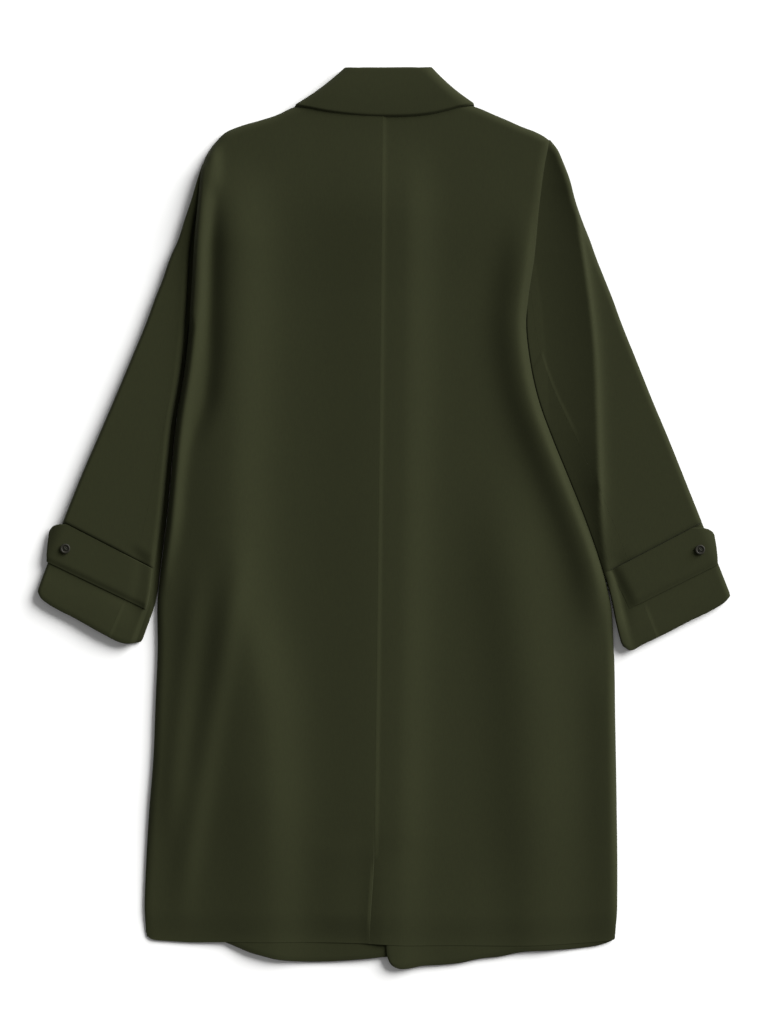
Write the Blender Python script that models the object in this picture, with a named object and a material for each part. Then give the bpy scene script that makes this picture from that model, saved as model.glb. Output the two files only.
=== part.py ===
# Collared wool coat laid flat, front side down.
# All sizes are millimetres until the meshes are made. +Z is up, +Y runs to the collar, +X is the wearer's right.

import math

import bpy
import numpy as np

# Cloth
WALL = 2.5
HALF = WALL / 2
SEAM = 0.3
LAYER = WALL + SEAM
FLOOR_MID = HALF

# Side edge of the body by side. Columns: y, distance out from the centre
EDGE = {
    1: [(-532, 289), (-440, 290), (-352, 289), (-252, 287.5), (-165, 286), (-102, 281.5), (-61, 271),
        (1, 249.5), (51, 229.5), (97.5, 210.5), (144, 193.5), (201, 181), (246, 177), (272, 179),
        (322.5, 186.5), (397.5, 194), (447.5, 201), (472.5, 206)],
    -1: [(-530, 293.5), (-477.5, 296), (-427.5, 294), (-365, 291), (-302.5, 286), (-227.5, 284),
         (-165, 282.5), (-102.5, 282.5), (-56, 277.5), (-2.5, 271), (60, 265), (122.5, 259), (176, 250),
         (239, 243), (297.5, 239), (347.5, 236), (397.5, 231), (442, 225.5), (451, 222.5), (460, 217.5),
         (467.5, 212.5), (475, 206)],
}

# Heights on the coat where the sleeve's seam starts and ends
UNDERARM_Y = {1: 250.0, -1: 239.0}
SHOULDER_Y = {1: 472.5, -1: 442.0}

# Shoulder line from the neck out. Columns: distance out, y
SHOULDER = {
    1: [(76, 527), (98, 516), (112, 512), (124, 509.5), (136, 505), (154, 497.5), (171, 490), (189, 483.2),
        (199, 478), (206.5, 472.5)],
    -1: [(76, 527), (96, 516), (106, 511.5), (117.5, 509.5), (131, 505), (154, 497.5), (180, 490), (197.5, 482.5),
         (206, 475)],
}

# Back neckline and centre-back line
NECK_BACK_Y = 527.0
CENTRE_BACK = [(-540, -13.8), (-424, -12.5), (497, -2.5), (530, -2.3)]

# Back hem. Columns: x, y
BACK_HEM = [(-296, -525.5), (-270, -527.5), (-240, -529.5), (-205, -529), (-150, -530), (-55, -531),
            (-12, -532), (30, -534), (80, -534), (195, -534.4), (226, -533), (270, -530), (291, -528)]

# Vent, left over right: its top, the run of its slanted end, its lap and the swing of its edge
VENT_TOP = -424.0
VENT_SLANT = 22.0
VENT_LAP = 35.0
VENT_SWING = 4.5

# Front hems. Columns: x, y
FRONT_HEM = {
    1: [(4, -557), (9, -561.5), (16, -563.5), (30, -563.5), (45, -560), (70, -558), (95, -555), (120, -549),
        (145, -546.5), (170, -541), (208, -539), (245, -536), (270, -532), (284, -527), (291, -521)],
    -1: [(-296, -514), (-286, -521), (-270, -524), (-235, -526.5), (-202, -529.5), (-186, -535.5),
         (-168, -542), (-152, -546), (-136, -550.5), (-105, -553), (-55, -552), (-18, -549), (0, -549),
         (45, -550), (95, -550)],
}

# Front edges, from hem to neck. Columns: y, x
FRONT_EDGE = {1: [(-570, 4.0), (450, -35.0)], -1: [(-570, 86.0), (450, 45.0)]}
FRONT_NECK = {
    1: [(-35, 445.5), (-12, 446), (5, 447), (28, 455), (48, 475), (65, 503), (76, 527)],
    -1: [(45, 445.5), (22, 446), (5, 447), (-18, 455), (-38, 475), (-57, 503), (-76, 527)],
}

# Sleeve outer edge from shoulder point to cuff. Columns: distance out, y
SLEEVE_OUTER = {
    1: [(206.5, 472.5), (210.5, 467.5), (216, 460), (221.5, 447.5), (231, 422.5), (237.5, 397.5), (246, 372.5),
        (256, 347.5), (265, 322.5), (275, 297.5), (285, 272.5), (294, 247.5), (314, 197.5), (334, 147.5),
        (355, 97.5), (375, 47.5), (394, 0), (432.5, -97.5)],
    -1: [(225.8, 442), (232, 422.5), (239.5, 397.5), (248, 372.5), (256, 347.5), (267, 322.5), (275.5, 297.5),
         (285.5, 272.5), (294.5, 247.5), (315, 197.5), (336, 147.5), (357.5, 97.5), (379, 47.5), (398, 0),
         (432.5, -92.5)],
}

# Sleeve inner edge once it parts from the body. Columns: distance out, y
SLEEVE_INNER_END = {
    1: [(279.5, -80), (286, -105), (291, -130), (296, -150), (300, -163)],
    -1: [(283.5, -90), (288, -110), (294, -127), (299, -141), (304, -154)],
}
SIDE_CLEAR = 0.8
SLEEVE_FAN = 1.45
STATIONS = [0, 0.012, 0.03, 0.06, 0.1, 0.15, 0.2, 0.26, 0.32, 0.4, 0.48, 0.56, 0.64, 0.72, 0.79, 0.86, 0.92,
            0.97, 1.0]

# Sleeve seam on the upper layer. Columns: share of the length, share across from the inner edge
BACK_SLEEVE_SEAM = [(0, 0.15), (0.26, 0.13), (0.39, 0.16), (0.5, 0.19), (0.6, 0.208), (0.75, 0.225), (0.93, 0.265),
                    (1, 0.287)]
BACK_SEAM_CLEAR = 4.0
UNDER_SLEEVE_SEAM = 0.32

# Hem of the cuff. Columns: share across from the inner edge, distance past a straight line
CUFF_HEM = {
    1: [(0, -3), (0.02, 3), (0.044, 5), (0.157, 5.2), (0.392, 5.5), (0.611, 4.8), (0.837, 4.6), (0.95, 2.5),
        (1, -0.5)],
    -1: [(0, 1), (0.03, 4), (0.1, 9.5), (0.189, 11.8), (0.3, 11), (0.4, 10.3), (0.507, 9.2), (0.63, 8.2),
         (0.776, 7.8), (0.9, 6), (0.954, 4), (1, -1)],
}
CUFF_RUN = 0.94
SLEEVE_ROLL = 6.0
SLEEVE_ROLL_MAX = 22.0

# Heights of the middle of the cloth
BACK_BASE = 8.0
BACK_NECK_RISE = 4.0
ARMHOLE_Z = {1: 8.0, -1: 6.5}
SLEEVE_Z = {1: 12.5, -1: 12.0}
SIDE_ROLL = 9.0
ARMHOLE_ROLL = 19.0

# Long folds of the back. Columns: height, half width left and right, y of its end and start, path (y, x)
BACK_FOLDS = [
    (7.5, 100.0, 34.0, -700, 430, [(-530, 12), (0, 22), (430, 26)]),
    (10.0, 60.0, 46.0, -700, 400, [(-530, -148), (-350, -150), (-227, -158), (-100, -186), (22, -194),
                                   (147, -190), (272, -186), (400, -186)]),
    (8.5, 44.0, 40.0, -700, 10, [(-530, 186), (-350, 184), (-227, 178), (-100, 164), (30, 150)]),
    (9.0, 21.0, 16.0, -110, 350, [(-120, 268), (-61, 258), (1, 237), (51, 217), (97.5, 198), (144, 181),
                                  (201, 168.5), (246, 165), (272, 167), (322.5, 174), (397.5, 181), (450, 188)]),
    (7.0, 22.0, 10.5, 0, 430, [(-60, -274), (0, -265), (44, -261), (101, -255), (144, -249), (185, -243),
                               (260, -233), (344, -228), (426, -219), (450, -214)]),
    (3.5, 14.0, 16.0, -380, -90, [(-380, -266), (-352, -264), (-115, -239), (-60, -233)]),
    (4.0, 18.0, 16.0, -480, -70, [(-480, -253), (-465, -251), (-102, -189), (-60, -182)]),
]

# Crest of the right sleeve. Columns: y, x
SLEEVE_CREST = [(-106, 285.5), (-52.5, 276), (-2.5, 271.5), (51, 268.5), (122.5, 266), (216, 262), (341, 246),
                (404, 235), (435, 225), (475, 207)]
CREST_RISE = 4.5

# Collar. Fold lines run from the roll corner to the fall's end at each side. Columns: x, y
ROLL_TOP_Y = 563.75
ROLL_RADIUS = 1.9
FALL_EDGE = [(-112, 514.5), (-67.5, 506.25), (-1.25, 500.6), (57.5, 503.75), (118, 518.5)]
COLLAR_CORNER = {1: (61.0, 563.2), -1: (-51.0, 563.2)}
FALL_END = {1: (114.0, 517.3), -1: (-110.0, 518.2)}
STAND_FOLD = {1: (78.6, 531.5), -1: (-78.6, 531.5)}
COLLAR_POINT = {1: (88.0, 418.0), -1: (-80.0, 418.0)}
COLLAR_CENTRE_X = 5.0

# Fronts rise over what lies under them: where the rise starts and ends, and spare room in the lap
LIFT_FROM = 16.0
LIFT_TO = 80.0
LAP_SPARE = 0.4

# Shares of the front neckline, from the shoulder to the centre front, where collar and front are sewn
NECK_SHARES = [0.0, 0.1, 0.22, 0.36, 0.52, 0.7, 0.86, 1.0]

# Cuff tabs, placed along and across the sleeve
TAB_FROM = 0.843
TAB_TO = 0.932
TAB_START = {1: 0.12, -1: 0.1}
TAB_END = {
    1: [(0, -12), (0.12, 0.5), (0.3, 9.5), (0.5, 8.5), (0.75, 5), (1, 0.5)],
    -1: [(0, -4), (0.12, 7.5), (0.3, 13), (0.5, 11), (0.75, 7.5), (1, 3)],
}
TAB_DROOP = 4.0
TAB_SPARE = 0.4

# Buttons
BUTTON_RADIUS = 6.2
BUTTON_THICK = 2.6
BUTTON_RIM = 0.8
BUTTON_SIDES = 28
BUTTON_INSET = {1: 14.0, -1: 14.0}

WOOL = (0.030, 0.033, 0.016)
WOOL_INSIDE = (0.028, 0.031, 0.015)
HORN = (0.012, 0.010, 0.008)


def smooth(low, high, value):
    """Rise from 0 to 1 between two values with level ends."""
    s = np.clip((np.asarray(value, float) - low) / (high - low), 0.0, 1.0)
    return s * s * (3.0 - 2.0 * s)


def through(table, value):
    """Smooth curve through a table's rows."""
    knots = np.array([row[0] for row in table], float)
    heights = np.array([row[1] for row in table], float)
    if len(knots) == 2:
        return np.interp(value, knots, heights)
    slopes = np.gradient(heights, knots)
    value = np.clip(np.asarray(value, float), knots[0], knots[-1])
    i = np.clip(np.searchsorted(knots, value, side="right") - 1, 0, len(knots) - 2)
    gap = knots[i + 1] - knots[i]
    s = (value - knots[i]) / gap
    a = (1 + 2 * s) * (1 - s) ** 2
    b = s * (1 - s) ** 2 * gap
    c = s * s * (3 - 2 * s)
    d = s * s * (s - 1) * gap
    return a * heights[i] + b * slopes[i] + c * heights[i + 1] + d * slopes[i + 1]


def along(points, share):
    """Point at a share of the length of a line of points."""
    points = np.asarray(points, float)
    steps = np.linalg.norm(np.diff(points, axis=0), axis=1)
    length = np.concatenate([[0.0], np.cumsum(steps)])
    at = np.asarray(share, float) * length[-1]
    return np.stack([np.interp(at, length, points[:, k]) for k in range(points.shape[1])], axis=-1)


def rounded(points, count=160):
    """Smooth line through a few points, by the length along them."""
    points = np.asarray(points, float)
    steps = np.linalg.norm(np.diff(points, axis=0), axis=1)
    length = np.concatenate([[0.0], np.cumsum(steps)])
    at = np.linspace(0.0, length[-1], count)
    columns = [through(list(zip(length, points[:, k])), at) for k in range(points.shape[1])]
    return np.stack(columns, axis=-1)


def distance_to(line, x, y):
    """Least distance from each point to a line of points."""
    line = np.asarray(line, float)
    start = line[:-1]
    step = line[1:] - start
    size = np.maximum((step ** 2).sum(axis=1), 1e-12)
    px = np.asarray(x, float)[..., None] - start[:, 0]
    py = np.asarray(y, float)[..., None] - start[:, 1]
    s = np.clip((px * step[:, 0] + py * step[:, 1]) / size, 0.0, 1.0)
    gap = np.hypot(px - s * step[:, 0], py - s * step[:, 1])
    return gap.min(axis=-1)


def inside(polygon, x, y):
    """Whether each point is inside a polygon."""
    polygon = np.asarray(polygon, float)
    x = np.asarray(x, float)
    y = np.asarray(y, float)
    result = np.zeros(np.broadcast(x, y).shape, bool)
    for (ax, ay), (bx, by) in zip(polygon, np.roll(polygon, -1, axis=0)):
        crosses = (ay > y) != (by > y)
        limit = ax + (y - ay) * (bx - ax) / (by - ay if by != ay else 1e-9)
        result ^= crosses & (x < limit)
    return result


def edge_out(side, y):
    """How far out the body's side edge is at a height on the coat."""
    return through(EDGE[side], y)


def leaf_outline(side):
    """Plan outline of the part of the collar under one front."""
    corner = COLLAR_CORNER[side]
    end = FALL_END[side]
    point = COLLAR_POINT[side]
    return [corner, end, (end[0] + 2 * side, 470), point, (COLLAR_CENTRE_X, 452), (COLLAR_CENTRE_X, 470)]


def front_mid(side, x, y, grow=0.0):
    """Height of the middle of a front, lifted over the collar and over the other front."""
    x = np.asarray(x, float)
    y = np.asarray(y, float)
    gap = np.full(np.broadcast(x, y).shape, 1e9)
    for one in (1, -1):
        outline = leaf_outline(one)
        near = np.where(inside(outline, x, y), 0.0, distance_to(outline + outline[:1], x, y))
        gap = np.minimum(gap, near)
    height = FLOOR_MID + LAYER * (1.0 - smooth(LIFT_FROM + grow, LIFT_TO + grow, gap))
    if side > 0:
        lap = through(FRONT_EDGE[-1], y) + grow
        height = height + (LAYER + LAP_SPARE) * (1.0 - smooth(lap + LIFT_FROM, lap + LIFT_TO, x))
    return height


def back_top(x, y):
    """Height of the middle of the back away from its edges."""
    x = np.asarray(x, float)
    y = np.asarray(y, float)
    height = BACK_BASE + BACK_NECK_RISE * smooth(270, 410, y)
    for rise, half_left, half_right, low, high, path in BACK_FOLDS:
        off = x - through(path, y)
        half = np.where(off < 0, half_left, half_right)
        fade = smooth(low - 60, low + 60, y) * (1.0 - smooth(high - 60, high + 60, y))
        height = height + rise * fade * np.exp(-(off / half) ** 2)
    return height


def arm_share(side, y):
    """1 where the body's edge is sewn to the sleeve, 0 where it turns down to the front."""
    low = UNDERARM_Y[side]
    high = SHOULDER_Y[side]
    return smooth(low - 30, low - 8, y) * (1.0 - smooth(high - 22, high - 4, y))


def tangents(points, axis):
    """Unit direction of a grid of points along one axis."""
    points = np.moveaxis(points, axis, 0)
    steps = np.diff(points, axis=0)
    size = np.maximum(np.linalg.norm(steps, axis=-1, keepdims=True), 1e-9)
    unit = steps / size
    result = np.empty_like(points)
    result[0] = unit[0]
    result[-1] = unit[-1]
    result[1:-1] = (unit[:-1] * size[1:] + unit[1:] * size[:-1]) / (size[:-1] + size[1:])
    return np.moveaxis(result, 0, axis)


def unit_rows(vectors):
    """Vectors brought to length 1."""
    return vectors / np.maximum(np.linalg.norm(vectors, axis=-1, keepdims=True), 1e-9)


def grid_normals(points):
    """Unit normals of a grid of points."""
    return unit_rows(np.cross(tangents(points, 0), tangents(points, 1)))


def shell(name, mid, normal, colour, roughness):
    """Close a grid of points into a piece of cloth of even thickness."""
    rows, columns = mid.shape[:2]
    outer = (mid + normal * HALF).reshape(-1, 3)
    inner = (mid - normal * HALF).reshape(-1, 3)
    vertices = np.concatenate([outer, inner])
    shift = rows * columns
    faces = []
    for i in range(rows - 1):
        for j in range(columns - 1):
            a = i * columns + j
            b = a + 1
            c = a + columns
            d = c + 1
            faces += [(a, c, b), (b, c, d)]
            faces += [(a + shift, b + shift, c + shift), (b + shift, d + shift, c + shift)]
    rim = [j for j in range(columns)]
    rim += [i * columns + columns - 1 for i in range(1, rows)]
    rim += [(rows - 1) * columns + j for j in range(columns - 2, -1, -1)]
    rim += [i * columns for i in range(rows - 2, 0, -1)]
    for a, b in zip(rim, rim[1:] + rim[:1]):
        faces += [(a, b, a + shift), (b, b + shift, a + shift)]
    return solid(name, vertices, faces, colour, roughness)


def solid(name, vertices, faces, colour, roughness):
    """Make one named object in metres, facing outward, with its own material."""
    vertices = np.asarray(vertices, float)
    corners = vertices[np.array(faces)]
    volume = np.einsum("ij,ij->i", corners[:, 0], np.cross(corners[:, 1], corners[:, 2])).sum()
    if volume < 0:
        faces = [face[::-1] for face in faces]
    mesh = bpy.data.meshes.new(name)
    mesh.from_pydata((vertices * 0.001).tolist(), [], faces)
    mesh.update()
    thing = bpy.data.objects.new(name, mesh)
    bpy.context.scene.collection.objects.link(thing)
    material = bpy.data.materials.new(name + "_look")
    material.use_nodes = True
    shader = material.node_tree.nodes["Principled BSDF"]
    shader.inputs["Base Color"].default_value = (*colour, 1.0)
    shader.inputs["Roughness"].default_value = roughness
    shader.inputs["Metallic"].default_value = 0.0
    mesh.materials.append(material)
    return thing


def patch(left, right, bottom, top, us, vs):
    """Fill a four-sided outline with a grid. Each side is a function of its share."""
    u = np.asarray(us)[None, :, None]
    v = np.asarray(vs)[:, None, None]
    lefts = np.array([left(s) for s in vs])[:, None, :]
    rights = np.array([right(s) for s in vs])[:, None, :]
    bottoms = np.array([bottom(s) for s in us])[None, :, :]
    tops = np.array([top(s) for s in us])[None, :, :]
    b0, b1 = bottoms[:, :1], bottoms[:, -1:]
    t0, t1 = tops[:, :1], tops[:, -1:]
    corners = (1 - u) * (1 - v) * b0 + u * (1 - v) * b1 + (1 - u) * v * t0 + u * v * t1
    return (1 - u) * lefts + u * rights + (1 - v) * bottoms + v * tops - corners


def spread(low, high, count):
    """Evenly spaced values, ends included."""
    return list(np.linspace(low, high, count))


def merge_rows(values, least, always=0):
    """Sorted values with close neighbours dropped, first come kept and the first few always."""
    kept = list(values[:always])
    for value in values[always:]:
        if all(abs(value - other) > least for other in kept):
            kept.append(value)
    return sorted(kept)


class SleevePlan:
    """One sleeve as flat loops from the armhole to the cuff."""

    def __init__(self, side):
        self.side = side
        low = UNDERARM_Y[side]
        high = SHOULDER_Y[side]
        arm_y = np.linspace(low, high, 120)
        self.arm = np.stack([side * (edge_out(side, arm_y) + SEAM / 2), arm_y], axis=-1)
        outer = np.array([(side * out, y) for out, y in SLEEVE_OUTER[side]], float)
        self.outer = rounded(outer, 240)
        stop = SLEEVE_INNER_END[side][0][1]
        down_y = np.linspace(low - 0.5, stop + 12, 160)
        clear = SIDE_CLEAR + HALF
        first = np.array([[side * (edge_out(side, low) + SEAM / 2), low]])
        run = np.stack([side * (edge_out(side, down_y) + clear), down_y], axis=-1)
        last = np.array([(side * out, y) for out, y in SLEEVE_INNER_END[side]], float)
        self.inner = np.concatenate([first, run, rounded(last, 40)])
        ends = [unit_rows(along(line, 1.0) - along(line, 0.95)) for line in (self.inner, self.outer)]
        self.axis = unit_rows(ends[0] + ends[1])

    def top_z(self, x, y):
        """Height of the middle of the upper layer."""
        side = self.side
        out = side * np.asarray(x, float)
        y = np.asarray(y, float)
        edge = edge_out(side, y) + SEAM / 2
        low = ARMHOLE_Z[side]
        full = SLEEVE_Z[side]
        if side > 0:
            crest = np.maximum(through(SLEEVE_CREST, y), edge + 2.0)
            rise = CREST_RISE * smooth(-170, -20, y)
            climb = low + (full + rise - low) * smooth(0.0, 1.0, (out - edge) / (crest - edge))
            fall = full + rise * np.exp(-((out - crest) / 28.0) ** 2)
            return np.where(out < crest, climb, fall)
        return low + (full - low) * smooth(-4.0, 20.0, out - edge) + 0.8 * np.sin(y / 70.0)

    def line(self, t):
        """Ends of the flat loop at a share of the sleeve's length."""
        head = along(self.inner, t ** SLEEVE_FAN)
        foot = along(self.outer, t)
        return head, foot

    def place(self, t, share):
        """Plan point across the loop, bowed along the armhole at its start."""
        head, foot = self.line(t)
        share = np.asarray(share, float)[..., None]
        straight = head + (foot - head) * share
        bow = along(self.arm, share[..., 0]) - (self.arm[0] + (self.arm[-1] - self.arm[0]) * share)
        drop = through(CUFF_HEM[self.side], share) * float(smooth(CUFF_RUN, 1.0, t))
        return straight + bow * float(1.0 - smooth(0.0, 0.2, t)) + self.axis * drop

    def rolls(self, t):
        """Length of the loop and the run of its two turned edges."""
        head, foot = self.line(t)
        length = float(np.linalg.norm(foot - head))
        across = (foot - head) / length
        low, high = max(t - 0.004, 0.0), min(t + 0.004, 1.0)
        runs = []
        for line, power in ((self.inner, SLEEVE_FAN), (self.outer, 1.0)):
            step = along(line, high ** power) - along(line, low ** power)
            step = step / max(np.linalg.norm(step), 1e-9)
            slant = abs(across[0] * step[1] - across[1] * step[0])
            runs.append(min(SLEEVE_ROLL / max(slant, 0.05), SLEEVE_ROLL_MAX))
        return length, runs[0], runs[1]

    def point(self, t, layer, c):
        """Middle of the cloth on the upper (1) or lower (-1) layer, c along the loop from its inner end."""
        length, roll_in, roll_out = self.rolls(t)
        c = np.asarray(c, float)
        plan = self.place(t, c / length)
        top = self.top_z(plan[..., 0], plan[..., 1])
        middle = (top + FLOOR_MID) / 2
        q_in = np.clip(c / roll_in, 0, 1)
        q_out = np.clip((length - c) / roll_out, 0, 1)
        full = np.sqrt(1 - (1 - q_in) ** 2) * np.sqrt(1 - (1 - q_out) ** 2)
        z = middle + layer * (top - middle) * full
        return np.concatenate([plan, z[..., None]], axis=-1)

    def slant(self, t):
        """How squarely the loop crosses the sleeve's back seam."""
        head, foot = self.line(t)
        across = unit_rows(foot - head)
        low, high = max(t - 0.02, 0.0), min(t + 0.02, 1.0)
        ends = [self.place(at, through(BACK_SLEEVE_SEAM, at)) for at in (low, high)]
        step = unit_rows(ends[1] - ends[0])
        return max(abs(float(across[0] * step[1] - across[1] * step[0])), 0.12)

    def samples(self, t):
        """Positions across the loop for the two sleeve pieces: lists of (layer, c)."""
        length, roll_in, roll_out = self.rolls(t)
        gap = SEAM / 2 / self.slant(t)
        seam = max(float(through(BACK_SLEEVE_SEAM, t)) * length, roll_in + BACK_SEAM_CLEAR)
        lower = UNDER_SLEEVE_SEAM * length
        turn_in = [roll_in * (1 - math.cos(math.radians(a))) for a in (30, 60)]
        turn_out = [length - roll_out * (1 - math.cos(math.radians(a))) for a in (60, 30)]
        flat = length - roll_out - seam
        top = [(1, seam + gap)] + [(1, seam + flat * s) for s in (0.17, 0.34, 0.5, 0.67, 0.84)]
        top += [(1, length - roll_out)] + [(1, c) for c in turn_out] + [(1, length)]
        top += [(-1, c) for c in turn_out[::-1]] + [(-1, length - roll_out)]
        flat = length - roll_out - lower
        top += [(-1, lower + flat * s) for s in (0.8, 0.6, 0.4, 0.2)] + [(-1, lower + gap)]
        under = [(-1, lower - gap), (-1, (lower + roll_in) / 2), (-1, roll_in)]
        under += [(-1, c) for c in turn_in[::-1]] + [(1, 0.0)] + [(1, c) for c in turn_in]
        under += [(1, roll_in), (1, (seam + roll_in) / 2), (1, seam - gap)]
        return top, under


def sleeve_grid(plan):
    """Points and normals of a whole sleeve loop by loop, and how many points belong to the top sleeve."""
    rows = []
    for t in STATIONS:
        top, under = plan.samples(t)
        rows.append([plan.point(t, layer, c) for layer, c in top + under])
    mid = np.array(rows)
    joined = np.concatenate([mid[:, -1:], mid, mid[:, :1]], axis=1)
    normal = grid_normals(joined)
    middle = len(mid) // 2
    if normal[middle, 1 + int(np.argmax(mid[middle, :, 2])), 2] < 0:
        normal = -normal
    loop = tangents(joined[0][:, None, :], 0)[:, 0, :]
    run = unit_rows(plan.arm[-1] - plan.arm[0])
    ring = unit_rows(np.cross(loop, np.array([run[1], -run[0], 0.0])))
    crown = 1 + int(np.argmax(mid[0, :, 2]))
    normal[0] = ring * np.sign(ring[crown, 2])
    return mid, normal[:, 1:-1], len(plan.samples(0.0)[0])


def make_sleeve(plan, name):
    """Both pieces of one sleeve."""
    mid, normal, count = sleeve_grid(plan)
    shell("sleeve_top_" + name, mid[:, :count], normal[:, :count], WOOL, 0.95)
    shell("sleeve_under_" + name, mid[:, count:], normal[:, count:], WOOL, 0.95)


def body_rows(side, plan, low, high):
    """Shares up the side edge: close rows at the vent and shoulder, rows on the sleeve's own points."""
    length, roll_in, roll_out = plan.rolls(0.0)
    arm = [c for layer, c in plan.samples(0.0)[1] + plan.samples(0.0)[0]
           if layer > 0 and roll_in <= c <= length - roll_out]
    arm_y = [float(plan.place(0.0, np.array(c / length))[1]) for c in arm]
    values = [(y - low) / (high - low) for y in arm_y]
    values += [0.0, 1.0, (UNDERARM_Y[side] - 12 - low) / (high - low)]
    values += [1 - d / 1000 for d in (0.8, 2.6, 5.5, 9.0, 14.0, 22.0)]
    vent = [(VENT_TOP + d + 533) / 1060 for d in (0.0, -VENT_SLANT, 34.0, 3.0)]
    rows = merge_rows(values + vent, 0.0009)
    filler = [(y - low) / (high - low) for y in spread(UNDERARM_Y[side] - 34, -110, 13)] + spread(0, 1, 19)
    return vent, merge_rows(rows + filler, 0.016, len(rows))


def back_grid(side, plan):
    """Points and normals of one back half."""
    hem_out = float(edge_out(side, -527))
    hem_y = float(through(BACK_HEM, side * hem_out))
    shoulder = [(side * out, y) for out, y in SHOULDER[side]]
    neck = shoulder[0]
    tip = shoulder[-1]
    inset = HALF

    def right(v):
        y = hem_y + v * (tip[1] - hem_y)
        arm = float(arm_share(side, y))
        inward = SEAM / 2 + (inset + 0.3 - SEAM / 2) * min(1.0, (1 - arm) * 4)
        return (side * (float(edge_out(side, y)) - inward), y - inset * float(smooth(0.97, 1.0, v)))

    def left(v):
        hem = float(through(BACK_HEM, -12.0))
        y = hem + v * (NECK_BACK_Y - SEAM / 2 - hem)
        x = float(through(CENTRE_BACK, y)) + side * SEAM / 2
        if side < 0:
            x -= VENT_SWING * (1.0 - float(smooth(-530, VENT_TOP, y)))
        else:
            x -= VENT_LAP * float(np.clip((VENT_TOP - y) / VENT_SLANT, 0, 1))
        return (x, y)

    start = left(0.0)
    finish = right(0.0)

    def bottom(u):
        x = start[0] + u * (finish[0] - start[0])
        return (x, float(through(BACK_HEM, x)))

    crown = np.array(shoulder)
    crown_line = rounded(crown, 120)
    neck_share = (abs(neck[0]) - side * left(1.0)[0]) / (abs(tip[0]) - side * left(1.0)[0])
    peak = right(1.0)
    first = left(1.0)

    def top(u):
        if u <= neck_share:
            s = u / neck_share
            return (first[0] + s * (neck[0] - first[0]), first[1] + s * s * (neck[1] - inset - first[1]))
        x = neck[0] + (u - neck_share) / (1 - neck_share) * (peak[0] - neck[0])
        order = crown_line if side > 0 else crown_line[::-1]
        y = float(np.interp(x, order[:, 0], order[:, 1])) - inset
        if u >= 1:
            return peak
        return (x, y)

    vent, vs = body_rows(side, plan, hem_y, tip[1])
    us = [1 - d / 235 for d in (0, 0.8, 2.8, 6.0, 10.5, 18.0, 29.0)]
    us += [neck_share] + spread(0, 0.8, 10)
    us = merge_rows(us, 0.0025)
    plan_grid = patch(left, right, bottom, top, us, vs)
    x = plan_grid[..., 0]
    y = plan_grid[..., 1]
    edge_line = np.array([right(v) for v in np.linspace(0, 1, 200)])
    top_line = np.array([top(u) for u in np.linspace(neck_share, 1, 80)])[::-1]
    border = np.concatenate([edge_line, top_line])
    reach = distance_to(border, x, y)
    reach[:, -1] = 0.0
    shoulder_columns = np.array(us) >= neck_share - 1e-9
    reach[-1, shoulder_columns] = 0.0
    arm = arm_share(side, y)
    near_side = side * x > 150
    arm = np.where(near_side, arm, 0.0)
    neck_gap = np.hypot(x - neck[0], y - neck[1])
    tip_gap = np.hypot(x - tip[0], y - tip[1])
    rest = front_mid(side, x, y, 14.0) + HALF + SEAM
    rest = rest + 1.4 * (1.0 - smooth(3.0, 22.0, neck_gap)) + 0.5 * (1.0 - smooth(2.0, 14.0, tip_gap))
    end = rest + (ARMHOLE_Z[side] - rest) * arm
    roll = SIDE_ROLL + (ARMHOLE_ROLL - SIDE_ROLL) * arm
    q = np.clip(reach / roll, 0, 1)
    round_edge = np.sqrt(1 - (1 - q) ** 2)
    sloped = smooth(0.0, 1.0, q)
    share = round_edge + (sloped - round_edge) * arm
    plateau = back_top(x, y) + vent_shift(side, x, y)
    z = end + (plateau - end) * share
    mid = np.concatenate([plan_grid, z[..., None]], axis=-1)
    normal = grid_normals(mid)
    if normal[len(vs) // 2, 2, 2] < 0:
        normal = -normal
    set_border(side, mid, normal, arm, shoulder_columns)
    return mid, normal


def vent_shift(side, x, y):
    """Rise of the lap and drop of the underlap at the vent."""
    gap = np.abs(x - through(CENTRE_BACK, y))
    depth = 1.0 - smooth(VENT_TOP, VENT_TOP + 32, y)
    return -side * (LAYER / 2 + 0.25) * depth * (1.0 - smooth(VENT_LAP + 6, VENT_LAP + 60, gap))


def set_border(side, mid, normal, arm, shoulder_columns):
    """Edge directions: level where the edge turns down, upright where it is sewn edge to edge."""
    up = np.array([0.0, 0.0, 1.0])
    run = tangents(mid[:, -1:, :2], 0)[:, 0, :]
    out = np.stack([run[:, 1], -run[:, 0], np.zeros(len(run))], axis=-1) * side
    share = arm[:, -1][:, None]
    normal[:, -1] = unit_rows(out * (1 - share) + up * share)
    run = tangents(mid[-1:, :, :2], 1)[0]
    out = np.stack([-run[:, 1], run[:, 0], np.zeros(len(run))], axis=-1) * side
    out = out * np.sign(out[:, 1:2] + 1e-9)
    neck = ~shoulder_columns
    normal[-1] = np.where(neck[:, None], up, unit_rows(out))
    first = int(np.argmax(shoulder_columns))
    normal[-1, first] = unit_rows(out[first] + up)
    corner = normal[-2, -1] * np.array([1, 1, 0]) + normal[-1, -2]
    normal[-1, -1] = unit_rows(corner)


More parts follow.
